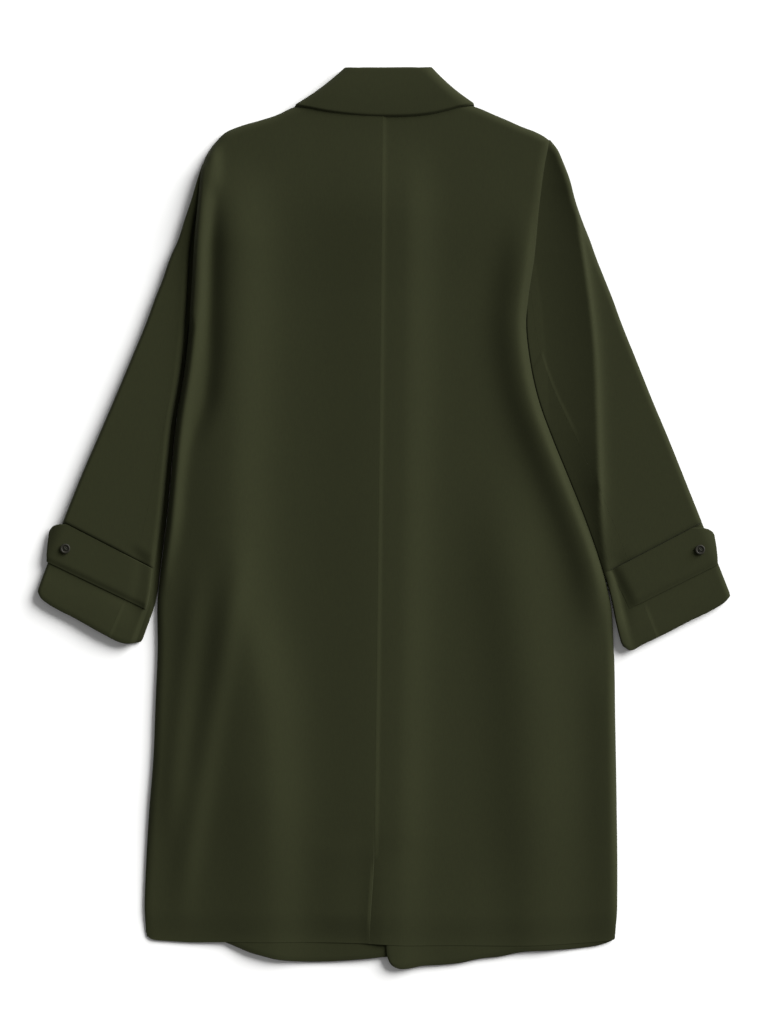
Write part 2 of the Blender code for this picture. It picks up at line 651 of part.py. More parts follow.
def front_grid(side, plan):
    """Points and normals of one front."""
    hem = FRONT_HEM[side]
    neckline = rounded(FRONT_NECK[side], 240)
    points, shares = neck_points(side)
    shoulder = [(side * out, y) for out, y in SHOULDER[side]]
    crown = rounded(shoulder, 120)
    tip = crown[-1]
    edge_x = float(through(FRONT_EDGE[side], -555))
    hem_edge = (edge_x, float(through(hem, edge_x)))
    side_x = side * float(edge_out(side, -527))
    hem_side = (side_x, float(through(hem, side_x)))
    neck_edge = (FRONT_NECK[side][0][0], FRONT_NECK[side][0][1] - SEAM / 2)

    def left(v):
        return (hem_edge[0] + v * (neck_edge[0] - hem_edge[0]), hem_edge[1] + v * (neck_edge[1] - hem_edge[1]))

    def right(v):
        y = hem_side[1] + v * (tip[1] - hem_side[1])
        return (side * (float(edge_out(side, y)) - SEAM / 2 * float(arm_share(side, y))), y)

    def bottom(u):
        x = hem_edge[0] + u * (hem_side[0] - hem_edge[0])
        return (x, float(through(hem, x)))

    neck_share = 0.46

    def top(u):
        if u <= neck_share:
            share = u / neck_share
            x, y = along(neckline, share)
            step = unit_rows(along(neckline, min(share + 0.03, 1)) - along(neckline, max(share - 0.03, 0)))
            off = np.array([step[1], -step[0]])
            if off[1] > 0:
                off = -off
            return (x + off[0] * SEAM / 2, y + off[1] * SEAM / 2)
        x, y = along(crown, (u - neck_share) / (1 - neck_share))
        return (x, y)

    vent, vs = body_rows(side, plan, hem_side[1], tip[1])
    vs = [v for v in vs if v not in vent]
    vs = merge_rows([0.0, 1.0] + spread(0.86, 1, 8) + vs, 0.014)
    us = [neck_share * share for share in shares] + [0.0, neck_share * shares[-1] / 2]
    us = merge_rows(us + spread(neck_share, 1, 8), 0.004)
    plan_grid = patch(left, right, bottom, top, us, vs)
    z = front_mid(side, plan_grid[..., 0], plan_grid[..., 1])
    mid = np.concatenate([plan_grid, z[..., None]], axis=-1)
    normal = np.zeros_like(mid)
    normal[..., 2] = 1.0
    return mid, normal


def neck_points(side):
    """Front neckline where collar and front are sewn, from the shoulder to the centre front, and its shares."""
    line = rounded(FRONT_NECK[side], 240)
    steps = np.concatenate([[0.0], np.cumsum(np.linalg.norm(np.diff(line, axis=0), axis=1))])
    centre = steps[int(np.argmin(np.abs(line[:, 0] - COLLAR_CENTRE_X)))] / steps[-1]
    shares = [1 - s * (1 - centre) for s in NECK_SHARES]
    return along(line, np.array(shares)), shares


def collar_side(side):
    """Sections of one half of the collar from the centre back to its front end."""
    corner = np.array(COLLAR_CORNER[side])
    end = np.array(FALL_END[side])
    run = unit_rows(corner - end)
    out = np.array([run[1], -run[0]])
    if out[1] < 0:
        out = -out
    stand_fold = np.array(STAND_FOLD[side])
    radius = ROLL_RADIUS
    centre_fold = corner - out * (HALF + radius) - run * (HALF + radius)
    fall_fold = end - out * HALF
    neckline, shares = neck_points(side)
    run_n = tangents(neckline[:, None, :], 0)[:, 0, :]
    off = np.stack([run_n[:, 1], -run_n[:, 0]], axis=-1)
    off = off * np.sign(off[:, 1:2] + 1e-9)
    widths = {"n": 3.5, "c": 4.0, "f": 6.0}
    folds = {"n": stand_fold, "c": centre_fold, "f": fall_fold}
    tops = {key: folds[key] - out * widths[key] for key in folds}
    sections = []
    middle_x = {"n": -2.3, "c": 4.0, "f": -1.25}
    for s in (0.0, 0.2, 0.4, 0.58, 0.74, 0.87, 1.0):
        xn = middle_x["n"] + s * (tops["n"][0] - middle_x["n"])
        xc = middle_x["c"] + s * (tops["c"][0] - middle_x["c"])
        xf = middle_x["f"] + s * (tops["f"][0] - middle_x["f"])
        yn = NECK_BACK_Y + SEAM / 2 + s ** 6 * (tops["n"][1] - NECK_BACK_Y - SEAM / 2)
        line = ROLL_TOP_Y - HALF - radius
        yc = line + s ** 6 * (tops["c"][1] - line)
        yf = float(through(FALL_EDGE, xf))
        zn = BACK_BASE + BACK_NECK_RISE
        rise = float(back_top(xf, yf)) + LAYER + 0.9
        sections.append(((xn, yn, zn), (xc, yc, zn + radius), (xf, yf, rise), (0, 0, 1.0), radius))
    last = sections[-1]
    front_n = neckline[0]
    low_n = float(front_mid(side, front_n[0], front_n[1]))
    low_r = (low_n - FLOOR_MID) / 2
    for angle in (30, 60, 90, 120, 150, 180):
        a = math.radians(angle)
        lean = math.sin(a) - 1
        share = (1 - math.cos(a)) / 2
        n = folds["n"] + out * widths["n"] * lean
        c = folds["c"] + out * widths["c"] * lean
        f = folds["f"] + out * widths["f"] * lean
        zn = last[0][2] + (low_n - last[0][2]) * share
        zc = last[1][2] + (FLOOR_MID + low_r - last[1][2]) * share
        zf = last[2][2] + (FLOOR_MID - last[2][2]) * share
        facing = (out[0] * math.sin(a), out[1] * math.sin(a), math.cos(a))
        r = radius + (low_r - radius) * share
        sections.append(((n[0], n[1], zn), (c[0], c[1], zc), (f[0], f[1], zf), facing, r))
    begin = sections[-1]
    point = np.array(COLLAR_POINT[side])
    finish_c = np.array([COLLAR_CENTRE_X + side * 3.5, 457.5])
    centre_line = rounded([begin[1][:2], (COLLAR_CENTRE_X + side * 40, 520), (COLLAR_CENTRE_X + side * 22, 482),
                           tuple(finish_c)], 60)
    fall_line = rounded([begin[2][:2], (end[0] + side * 1.0, 480), (point[0] + side * 14, 445), tuple(point)], 60)
    for k in range(1, len(NECK_SHARES)):
        s = NECK_SHARES[k]
        n = neckline[k] + off[k] * (SEAM / 2 + 0.05)
        if s == 1.0:
            n = np.array([COLLAR_CENTRE_X + side * SEAM, n[1]])
        c = along(centre_line, s)
        f = along(fall_line, s)
        zn = float(front_mid(side, neckline[k][0], neckline[k][1]))
        r = (zn - FLOOR_MID) / 2
        sections.append(((n[0], n[1], zn), (c[0], c[1], FLOOR_MID + r), (f[0], f[1], FLOOR_MID), (0, 0, -1.0), r))
    return sections


def collar_curve(section):
    """One section of the collar, from its neck edge over the roll to the fall's edge."""
    n, c, f, facing, radius = [np.asarray(value, float) for value in section]
    facing = unit_rows(facing)
    away = c - radius * facing - n
    away = away - facing * (away @ facing)
    away = unit_rows(away)
    low = c - radius * facing
    points = [n, n + (low - n) * 0.5, low]
    for angle in (45, 90, 135):
        a = math.radians(angle)
        points.append(c - facing * radius * math.cos(a) + away * radius * math.sin(a))
    high = c + facing * radius
    points.append(high)
    for s in (0.25, 0.5, 0.75, 1.0):
        points.append(high + (f - high) * s)
    return points


def make_collar():
    """The collar in one piece, from its left front end to its right front end."""
    right = collar_side(1)
    left = collar_side(-1)
    sections = left[:0:-1] + right
    mid = np.array([collar_curve(section) for section in sections])
    normal = grid_normals(mid)
    facing = unit_rows(np.array([section[3] for section in sections], float))
    if (normal[:, 1] * facing).sum() < 0:
        normal = -normal
    normal[:, 0] = facing
    shell("collar", mid, normal, WOOL, 0.95)


def tab_grid(plan):
    """Points and normals of one cuff tab, raised off the sleeve."""
    side = plan.side
    rows = []
    for share in (0.0, 0.06, 0.25, 0.5, 0.75, 0.94, 1.0):
        t = TAB_FROM + share * (TAB_TO - TAB_FROM)
        length, roll_in, roll_out = plan.rolls(t)
        start = max(TAB_START[side] * length, 0.5)
        stop = length + float(through(TAB_END[side], share))
        row = []
        for s in (0.0, 0.1, 0.22, 0.36, 0.5, 0.64, 0.76, 0.86, 0.94, 1.0):
            c = start + s * (stop - start)
            level = max(min(c, length - roll_out), roll_in)
            base = plan.point(t, 1, level)
            head, foot = plan.line(t)
            across = unit_rows(foot - head)
            xy = base[:2] + across * (c - level)
            over = max(c - (length - roll_out), 0.0)
            sag = TAB_DROOP * (over / (roll_out + 9.5)) ** 2
            under = max(roll_in - c, 0.0)
            row.append((xy[0], xy[1], base[2] + LAYER + TAB_SPARE - sag - 0.15 * under))
        rows.append(row)
    mid = np.array(rows)
    normal = grid_normals(mid)
    if normal[3, 4, 2] < 0:
        normal = -normal
    return mid, normal


def make_button(side, plan, name):
    """A plain round button standing on the tab."""
    t = (TAB_FROM + TAB_TO) / 2
    mid, normal = tab_grid(plan)
    length, roll_in, roll_out = plan.rolls(t)
    head, foot = plan.line(t)
    spot = along(np.array([head, foot]), (length - BUTTON_INSET[side]) / length)
    gap = np.linalg.norm(mid[..., :2] - spot, axis=-1)
    near = np.argsort(gap, axis=None)[:4]
    flat_mid = mid.reshape(-1, 3)[near]
    flat_normal = normal.reshape(-1, 3)[near]
    weight = 1.0 / (gap.reshape(-1)[near] + 1e-3)
    weight = weight / weight.sum()
    axis = unit_rows((flat_normal * weight[:, None]).sum(axis=0))
    base = (flat_mid * weight[:, None]).sum(axis=0)
    height = base[2] - (axis[0] * (spot[0] - base[0]) + axis[1] * (spot[1] - base[1])) / axis[2]
    centre = np.array([spot[0], spot[1], height]) + axis * (HALF + SEAM + 0.25)
    first = unit_rows(np.cross(axis, np.array([0.0, 1.0, 0.0])))
    second = np.cross(axis, first)
    rings = [(0.0, BUTTON_RADIUS - BUTTON_RIM), (BUTTON_RIM, BUTTON_RADIUS),
             (BUTTON_THICK - BUTTON_RIM, BUTTON_RADIUS), (BUTTON_THICK, BUTTON_RADIUS - BUTTON_RIM),
             (BUTTON_THICK - 0.7, BUTTON_RADIUS - 2.6)]
    vertices = []
    for rise, radius in rings:
        for k in range(BUTTON_SIDES):
            a = 2 * math.pi * k / BUTTON_SIDES
            vertices.append(centre + axis * rise + (first * math.cos(a) + second * math.sin(a)) * radius)
    bottom = len(vertices)
    vertices.append(centre)
    vertices.append(centre + axis * rings[-1][0])
    faces = []
    for k in range(BUTTON_SIDES):
        m = (k + 1) % BUTTON_SIDES
        faces.append((bottom, m, k))
        for ring in range(len(rings) - 1):
            a = ring * BUTTON_SIDES
            b = a + BUTTON_SIDES
            faces += [(a + k, a + m, b + k), (a + m, b + m, b + k)]
        last = (len(rings) - 1) * BUTTON_SIDES
        faces.append((bottom + 1, last + k, last + m))
    solid("button_" + name, vertices, faces, HORN, 0.35)


def build():
    """Make every piece of the coat."""
    for thing in list(bpy.data.objects):
        bpy.data.objects.remove(thing, do_unlink=True)
    for side, name in ((-1, "left"), (1, "right")):
        plan = SleevePlan(side)
        mid, normal = back_grid(side, plan)
        shell("back_" + name, mid, normal, WOOL, 0.95)
        mid, normal = front_grid(side, plan)
        shell("front_" + name, mid, normal, WOOL_INSIDE, 0.95)
        make_sleeve(plan, name)
        mid, normal = tab_grid(plan)
        shell("tab_" + name, mid, normal, WOOL, 0.95)
        make_button(side, plan, name)
    make_collar()


build()
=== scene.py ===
"""Dark olive wool coat with a turn-down collar, laid flat on pale paper with its back up.

All sizes are millimetres until a mesh is made. +Z is up, +Y runs to the collar, +X is the wearer's right.
"""

import logging
import math
from dataclasses import dataclass, field
from enum import Enum
from typing import Any, Callable

import bmesh
import bpy
import numpy as np
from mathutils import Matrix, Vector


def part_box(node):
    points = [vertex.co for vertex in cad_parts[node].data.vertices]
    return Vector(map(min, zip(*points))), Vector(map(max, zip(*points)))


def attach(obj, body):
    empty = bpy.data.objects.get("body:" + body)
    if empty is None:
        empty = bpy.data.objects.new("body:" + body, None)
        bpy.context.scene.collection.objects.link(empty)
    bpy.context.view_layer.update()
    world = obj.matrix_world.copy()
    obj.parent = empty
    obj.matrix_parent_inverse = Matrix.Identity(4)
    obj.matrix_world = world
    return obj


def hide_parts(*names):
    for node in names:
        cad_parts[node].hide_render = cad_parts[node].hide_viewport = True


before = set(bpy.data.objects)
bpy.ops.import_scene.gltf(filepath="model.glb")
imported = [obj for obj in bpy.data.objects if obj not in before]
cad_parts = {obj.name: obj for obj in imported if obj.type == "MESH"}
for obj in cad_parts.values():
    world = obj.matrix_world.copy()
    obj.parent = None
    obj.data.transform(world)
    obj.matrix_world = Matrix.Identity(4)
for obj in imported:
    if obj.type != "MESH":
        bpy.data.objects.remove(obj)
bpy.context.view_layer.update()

LOG = logging.getLogger("coat")
Points = np.ndarray
Table = tuple[tuple[float, float], ...]
Line = Callable[[float], tuple[float, float]]


class Side(Enum):
    """Wearer's side of the coat, which on this back view is also the picture's side."""

    LEFT = -1
    RIGHT = 1

    @property
    def label(self) -> str:
        """Side's word in the names of pieces."""
        return self.name.lower()


class Layer(Enum):
    """Upper or lower layer of a sleeve that lies flat."""

    UPPER = 1
    LOWER = -1


class Slot(Enum):
    """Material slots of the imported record."""

    WOOL = "wool"
    WOOL_FRONT = "wool_front"
    HORN = "horn"


def by_side(right: Any, left: Any) -> Any:
    """Dataclass field with one default value for each side of the coat."""
    return field(default_factory=lambda: {Side.RIGHT: right, Side.LEFT: left})


def smooth(low: float, high: float, value: Points | float) -> Points:
    """Rise from 0 to 1 between two values with level ends.

    Args:
        low: Value where the rise starts.
        high: Value where the rise ends.
        value: Values to place on the rise.

    Returns:
        Share of the rise at each value.
    """
    share = np.clip((np.asarray(value, float) - low) / (high - low), 0.0, 1.0)
    return share * share * (3.0 - 2.0 * share)


def quarter(share: Points | float) -> Points:
    """Height of a quarter round at a share of its run."""
    return np.sqrt(1.0 - (1.0 - np.clip(share, 0.0, 1.0)) ** 2)


def through(table: Table, value: Points | float) -> Points:
    """Smooth curve through the rows of a table.

    Args:
        table: Rows of (place, height), sorted by place.
        value: Places to read.

    Returns:
        Height at each place.
    """
    knots = np.array([row[0] for row in table], float)
    heights = np.array([row[1] for row in table], float)
    if len(knots) == 2:
        return np.interp(value, knots, heights)
    slopes = np.gradient(heights, knots)
    value = np.clip(np.asarray(value, float), knots[0], knots[-1])
    i = np.clip(np.searchsorted(knots, value, side="right") - 1, 0, len(knots) - 2)
    gap = knots[i + 1] - knots[i]
    s = (value - knots[i]) / gap
    start = (1 + 2 * s) * (1 - s) ** 2 * heights[i] + s * (1 - s) ** 2 * gap * slopes[i]
    return start + s * s * (3 - 2 * s) * heights[i + 1] + s * s * (s - 1) * gap * slopes[i + 1]


def lengths_along(points: Points) -> Points:
    """Length from a line's first point to each of its points."""
    return np.concatenate([[0.0], np.cumsum(np.linalg.norm(np.diff(points, axis=0), axis=1))])


def along(points: Points, share: Points | float) -> Points:
    """Point at a share of the length of a line.

    Args:
        points: Points of the line.
        share: Shares of its length.

    Returns:
        One point for each share.
    """
    points = np.asarray(points, float)
    length = lengths_along(points)
    at = np.asarray(share, float) * length[-1]
    return np.stack([np.interp(at, length, points[:, k]) for k in range(points.shape[1])], axis=-1)


def rounded(points: Points | list, count: int = 400) -> Points:
    """Smooth line through a few points.

    Args:
        points: Points to pass through.
        count: How many points the line gets.

    Returns:
        Points of the smooth line.
    """
    points = np.asarray(points, float)
    length = lengths_along(points)
    at = np.linspace(0.0, length[-1], count)
    return np.stack([through(tuple(zip(length, points[:, k])), at) for k in range(points.shape[1])], axis=-1)


def distance_to(line: Points, x: Points, y: Points) -> Points:
    """Least distance from each point to a line.

    Args:
        line: Points of the line.
        x: Places across the coat.
        y: Places up the coat.

    Returns:
        Distance of each point.
    """
    line = np.asarray(line, float)
    best = np.full(np.broadcast(x, y).shape, 1e9)
    for start, stop in zip(line[:-1], line[1:]):
        step = stop - start
        size = max(float(step @ step), 1e-12)
        px = x - start[0]
        py = y - start[1]
        s = np.clip((px * step[0] + py * step[1]) / size, 0.0, 1.0)
        best = np.minimum(best, np.hypot(px - s * step[0], py - s * step[1]))
    return best


def inside(polygon: Points | list, x: Points, y: Points) -> Points:
    """Whether each point is inside a polygon.

    Args:
        polygon: Corners of the polygon.
        x: Places across the coat.
        y: Places up the coat.

    Returns:
        True for each point inside.
    """
    polygon = np.asarray(polygon, float)
    result = np.zeros(np.broadcast(x, y).shape, bool)
    for (ax, ay), (bx, by) in zip(polygon, np.roll(polygon, -1, axis=0)):
        crosses = (ay > y) != (by > y)
        limit = ax + (y - ay) * (bx - ax) / (by - ay if by != ay else 1e-9)
        result ^= crosses & (x < limit)
    return result


def unit(vectors: Points) -> Points:
    """Vectors brought to length 1."""
    return vectors / np.maximum(np.linalg.norm(vectors, axis=-1, keepdims=True), 1e-12)


def tangents(points: Points, axis: int) -> Points:
    """Unit directions of a grid along one axis.

    Args:
        points: Grid of points.
        axis: 0 along its columns, 1 along its rows.

    Returns:
        One direction for each point.
    """
    points = np.moveaxis(points, axis, 0)
    steps = np.diff(points, axis=0)
    size = np.maximum(np.linalg.norm(steps, axis=-1, keepdims=True), 1e-9)
    ways = steps / size
    result = np.empty_like(points)
    result[0] = ways[0]
    result[-1] = ways[-1]
    result[1:-1] = (ways[:-1] * size[1:] + ways[1:] * size[:-1]) / (size[:-1] + size[1:])
    return np.moveaxis(result, 0, axis)


def grid_normals(points: Points) -> Points:
    """Unit normals of a grid of points."""
    return unit(np.cross(tangents(points, 0), tangents(points, 1)))


def patch(left: Line, right: Line, bottom: Line, top: Line, us: Points, vs: Points) -> Points:
    """Fill a four-sided outline with a grid.

    Args:
        left: Left side as a function of its share from the bottom.
        right: Right side, the same way.
        bottom: Bottom side as a function of its share from the left.
        top: Top side, the same way.
        us: Shares across.
        vs: Shares up.

    Returns:
        Grid of plan points, a row for each share up.
    """
    u = us[None, :, None]
    v = vs[:, None, None]
    lefts = np.array([left(s) for s in vs])[:, None, :]
    rights = np.array([right(s) for s in vs])[:, None, :]
    bottoms = np.array([bottom(s) for s in us])[None, :, :]
    tops = np.array([top(s) for s in us])[None, :, :]
    below = (1 - u) * bottoms[:, :1] + u * bottoms[:, -1:]
    above = (1 - u) * tops[:, :1] + u * tops[:, -1:]
    return (1 - u) * lefts + u * rights + (1 - v) * (bottoms - below) + v * (tops - above)


def shares(length: float, step: float, first: tuple[float, ...], last: tuple[float, ...]) -> Points:
    """Shares of a length, even in the middle and close at its ends.

    Args:
        length: Length to divide.
        step: Even step in the middle.
        first: Places from the start, from 0 up.
        last: Places from the end, from 0 up.

    Returns:
        Sorted shares from 0 to 1.
    """
    low = first[-1]
    high = length - last[-1]
    middle = np.linspace(low, high, max(int(round((high - low) / step)), 2) + 1)[1:-1]
    return np.concatenate([first, middle, length - np.array(last)[::-1]]) / length


def turn(radius: float, degrees: tuple[float, ...]) -> tuple[float, ...]:
    """Plan distances from an edge for points at even angles on its rounding."""
    return tuple(radius * (1.0 - math.cos(math.radians(a))) for a in degrees)


WELD = 0.002
# Places of close rows from an edge, in millimetres, and the angles of rows on a rolled edge
HEM_STEPS = (0.0, 0.1, 0.35, 0.75, 1.25, 2.0, 3.2, 5.0, 7.0)
SEAM_STEPS = (0.0, 0.1, 0.3, 0.6, 1.0, 1.6, 2.4, 3.2, 4.2, 5.4, 7.0)
TURN_ANGLES = (0.0, 1.0, 3.0, 6.0, 10.0, 15.0, 22.0, 30.0, 38.0, 46.0, 54.0, 62.0, 70.0, 80.0, 90.0)
PAST_TURN = (11.0, 14.0, 18.0, 22.0)


@dataclass(frozen=True)
class Cloth:
    """Thickness of the coating, the space between layers and the gap at a sewn seam."""

    wall: float = 2.5
    spare: float = 0.3
    gap: float = 0.06

    @property
    def half(self) -> float:
        """Half of the wall."""
        return self.wall / 2

    @property
    def layer(self) -> float:
        """From the middle of one cloth to the middle of the next that lies on it."""
        return self.wall + self.spare


CLOTH = Cloth()
FLOOR_MID = CLOTH.half


@dataclass(frozen=True)
class Fold:
    """A long soft ridge of the back.

    Its path gives x at each y, and its ends fade over end_run.
    """

    rise: float
    half_left: float
    half_right: float
    low: float
    high: float
    path: Table
    end_run: float = 60.0

    def height(self, x: Points, y: Points) -> Points:
        """Height that the ridge adds at each place.

        Args:
            x: Places across the coat.
            y: Places up the coat.

        Returns:
            Added heights.
        """
        run = self.end_run
        fade = smooth(self.low - run, self.low + run, y) * (1.0 - smooth(self.high - run, self.high + run, y))
        off = x - through(self.path, y)
        half = np.where(off < 0, self.half_left, self.half_right)
        return self.rise * fade * np.exp(-((off / half) ** 2))


@dataclass(frozen=True)
class Layout:
    """Plan of the coat as it lies, and the heights of its layers."""

    # Side edge of the body. Columns: y, distance out from the centre
    edge: dict[Side, Table] = by_side(
        right=((-532, 290.5), (-440, 291.3), (-352, 290.3), (-252, 288.6), (-165, 286.8), (-102, 281.7),
               (-61, 271), (1, 249.5), (51, 229.5), (97.5, 210.5), (144, 193.5), (201, 181), (246, 177),
               (272, 179), (322.5, 186.5), (397.5, 194), (447.5, 201), (472.5, 206)),
        left=((-530, 299), (-477.5, 298.7), (-427.5, 296.7), (-365, 293), (-302.5, 288), (-227.5, 285),
              (-165, 282.5), (-102.5, 282.5), (-56, 277.5), (-2.5, 271), (60, 265), (122.5, 259),
              (176, 250), (239, 243), (297.5, 239), (347.5, 236), (397.5, 231), (442, 225.5),
              (451, 222.5), (460, 217.5), (467.5, 212.5), (475, 206)))
    # Shoulder line from the neck out. Columns: distance out, y
    shoulder: dict[Side, Table] = by_side(
        right=((76, 527), (92, 521), (102, 518), (111, 515), (121, 511.5), (136, 505), (154, 497.5),
               (171, 490), (189, 483.2), (199, 478), (206.5, 472.5)),
        left=((76, 527), (90, 521), (100, 518), (109, 515), (118, 511.5), (131, 505), (154, 497.5),
              (180, 490), (197.5, 482.5), (206, 475)))
    underarm_y: dict[Side, float] = by_side(right=250.0, left=239.0)
    shoulder_y: dict[Side, float] = by_side(right=472.5, left=442.0)
    armhole_z: dict[Side, float] = by_side(right=7.5, left=4.2)
    # Towards the left shoulder the armhole comes up again: how far, and between what heights
    armhole_climb: dict[Side, float] = by_side(right=0.0, left=6.5)
    climb_between: tuple[float, float] = (320.0, 415.0)
    arm_round: dict[Side, float] = by_side(right=10.0, left=7.0)
    underarm_round: float = 22.0
    # Under the right arm the body's edge stays up against the sleeve: how high, and from where to where
    crook_z: dict[Side, float] = by_side(right=7.2, left=0.0)
    crook_end: tuple[float, float] = (-150.0, -105.0)
    crook_top: tuple[float, float] = (440.0, 460.0)
    neck_back_y: float = 527.0
    # Centre-back line. Columns: y, x
    centre_back: Table = ((-540, -13.8), (-424, -12.5), (497, -2.5), (530, -2.3))
    # Front edges from hem to neck. Columns: y, x
    front_edge: dict[Side, Table] = by_side(
        right=((-570, 4.0), (450, -35.0)), left=((-570, 86.0), (450, 45.0)))
    # Front neckline from the front edge to the shoulder. Columns: x, y
    front_neck: dict[Side, Table] = by_side(
        right=((-35, 445.5), (-12, 446), (5, 447), (28, 455), (48, 475), (65, 503), (76, 527)),
        left=((45, 445.5), (22, 446), (5, 447), (-18, 455), (-38, 475), (-57, 503), (-76, 527)))
    collar_corner: dict[Side, tuple] = by_side(right=(61.0, 563.2), left=(-51.0, 563.2))
    fall_end: dict[Side, tuple] = by_side(right=(114.0, 517.3), left=(-112.5, 515.8))
    collar_point: dict[Side, tuple] = by_side(right=(88.0, 418.0), left=(-80.0, 418.0))
    collar_centre_x: float = 5.0
    back_base: float = 8.0
    # The back rises to the neck: how far, and between what heights
    neck_rise: float = 4.0
    neck_between: tuple[float, float] = (270.0, 410.0)
    lift_from: float = 16.0
    lift_to: float = 80.0
    lap_spare: float = 0.1
    # Long ridges in order: three broad waves, a low swell at the right edge, a ridge beside each sleeve, the
    # hollow inside the left one, a small patch by the left shoulder, and two slanting creases
    folds: tuple[Fold, ...] = (
        Fold(7.5, 100.0, 30.0, -700, 430, ((-530, 12), (0, 22), (430, 26))),
        Fold(11.0, 60.0, 40.0, -700, 400, ((-530, -148), (-350, -150), (-227, -158), (-100, -186), (22, -194),
                                           (147, -190), (272, -186), (400, -186))),
        Fold(7.2, 44.0, 46.0, -700, 10, ((-530, 186), (-350, 184), (-227, 178), (-100, 164), (30, 150)),
             90.0),
        Fold(4.0, 26.0, 10.0, -560, -190, ((-560, 287), (-190, 283))),
        Fold(9.2, 25.0, 12.5, -110, 350, ((-120, 268), (-61, 258), (1, 237), (51, 217), (97.5, 198),
                                          (144, 181), (201, 168.5), (246, 165), (272, 167), (322.5, 174),
                                          (397.5, 181), (450, 188))),
        Fold(8.8, 20.0, 9.0, -45, 430, ((-60, -274), (0, -265), (44, -261), (101, -255), (144, -249),
                                        (185, -243), (260, -233), (344, -228), (426, -219), (450, -214))),
        Fold(-7.0, 10.0, 15.0, 110, 380, ((44, -252), (101, -237), (144, -224), (185, -219), (260, -217),
                                          (344, -216), (426, -214)), 50.0),
        Fold(2.5, 12.0, 8.0, 412, 458, ((400, -210), (470, -214)), 16.0),
        Fold(3.5, 14.0, 16.0, -380, -90, ((-380, -266), (-352, -264), (-115, -239), (-60, -233))),
        Fold(4.5, 18.0, 16.0, -480, -70, ((-480, -253), (-465, -251), (-102, -189), (-60, -182))),
    )
    # The hem of the back settles on the fronts: how much its ridges flatten, and between what heights
    hem_flatten: float = 0.4
    settle_from: float = -330.0
    settle_to: float = -528.0
    hem_spare: float = 0.1
    # Near the hem the fronts lie in the same ridges as the back: where that starts
    follow_from: float = -440.0
    # Across the coat, where the hem climbs on the lapped fronts and comes down, and where on the underlap
    lap_climb: tuple[float, float] = (-32.0, 2.0)
    lap_fall: tuple[float, float] = (102.0, 166.0)
    vent_climb: tuple[float, float] = (-110.0, -50.0)
    # The underlap is pressed thin at its own hem: where that is, and what is left there to climb on
    vent_hem: float = -534.0
    vent_hem_left: float = 0.15

    def edge_out(self, side: Side, y: Points | float) -> Points:
        """How far out the body's side edge is at a height on the coat."""
        return through(self.edge[side], y)

    def armhole_at(self, side: Side, y: Points) -> Points:
        """Height of the armhole seam at a place up the coat."""
        return self.armhole_z[side] + self.armhole_climb[side] * smooth(*self.climb_between, y)

    def leaf_outline(self, side: Side) -> list[tuple[float, float]]:
        """Plan outline of the part of the collar that lies under one front."""
        end = self.fall_end[side]
        middle = self.collar_centre_x
        return [self.collar_corner[side], end, (end[0] + 2 * side.value, 470), self.collar_point[side],
                (middle, 452), (middle, 470)]

    def front_mid(self, side: Side, x: Points, y: Points, grow: float = 0.0) -> Points:
        """Height of the middle of a front, lifted over the collar and over the other front.

        Args:
            side: Which front.
            x: Places across the coat.
            y: Places up the coat.
            grow: How much further out the lift reaches.

        Returns:
            Height at each place.
        """
        x = np.asarray(x, float)
        y = np.asarray(y, float)
        gap = np.full(np.broadcast(x, y).shape, 1e9)
        for one in Side:
            outline = self.leaf_outline(one)
            near = distance_to(np.array(outline + outline[:1]), x, y)
            gap = np.minimum(gap, np.where(inside(outline, x, y), 0.0, near))
        height = FLOOR_MID + CLOTH.layer * (1.0 - smooth(self.lift_from + grow, self.lift_to + grow, gap))
        if side is Side.RIGHT:
            lap = through(self.front_edge[Side.LEFT], y) + grow
            lift = (CLOTH.layer + self.lap_spare) * (1.0 - smooth(self.lift_from, self.lift_to, x - lap))
            height = height + lift
        follow = 1.0 - smooth(self.settle_to, self.follow_from, y)
        return height + follow * (1.0 - self.hem_flatten) * self.ridges(x, y)

    def ridges(self, x: Points, y: Points) -> Points:
        """Height that all the long ridges add."""
        return np.maximum(sum(fold.height(x, y) for fold in self.folds), 0.0)

    def back_top(self, x: Points, y: Points) -> Points:
        """Height of the middle of the back away from its edges.

        Args:
            x: Places across the coat.
            y: Places up the coat.

        Returns:
            Height at each place.
        """
        x = np.asarray(x, float)
        y = np.asarray(y, float)
        height = self.back_base + self.neck_rise * smooth(*self.neck_between, y)
        return height + self.ridges(x, y) * (1.0 - self.hem_flatten * self.settled(y))

    def settled(self, y: Points | float) -> Points:
        """1 at the hem, where the back lies on the fronts, and 0 further up."""
        return 1.0 - smooth(self.settle_to, self.settle_from, y)

    def hem_rest(self, side: Side, x: Points, y: Points) -> Points:
        """Height of the middle of the back where it lies on the fronts and on the vent's underlap.

        Args:
            side: Which half of the back.
            x: Places across the coat.
            y: Places up the coat.

        Returns:
            Height at each place.
        """
        step = CLOTH.wall + self.hem_spare
        lapped = smooth(*self.lap_climb, x) * (1.0 - smooth(*self.lap_fall, x))
        rest = FLOOR_MID + step + (CLOTH.layer + self.lap_spare) * lapped
        if side is Side.RIGHT:
            return rest
        thin = self.vent_hem_left
        lap = thin + (1.0 - thin) * smooth(self.vent_hem, self.vent_hem + BACK_HEM.run, y)
        return rest + step * lap * smooth(*self.vent_climb, x)

    def arm_share(self, side: Side, y: Points | float) -> Points:
        """1 where the body's edge is sewn to the sleeve, 0 where it turns down to the front."""
        y = np.asarray(y, float)
        above = (y - self.underarm_y[side]) / self.underarm_round
        return quarter(above) * quarter((self.shoulder_y[side] - y) / self.arm_round[side])

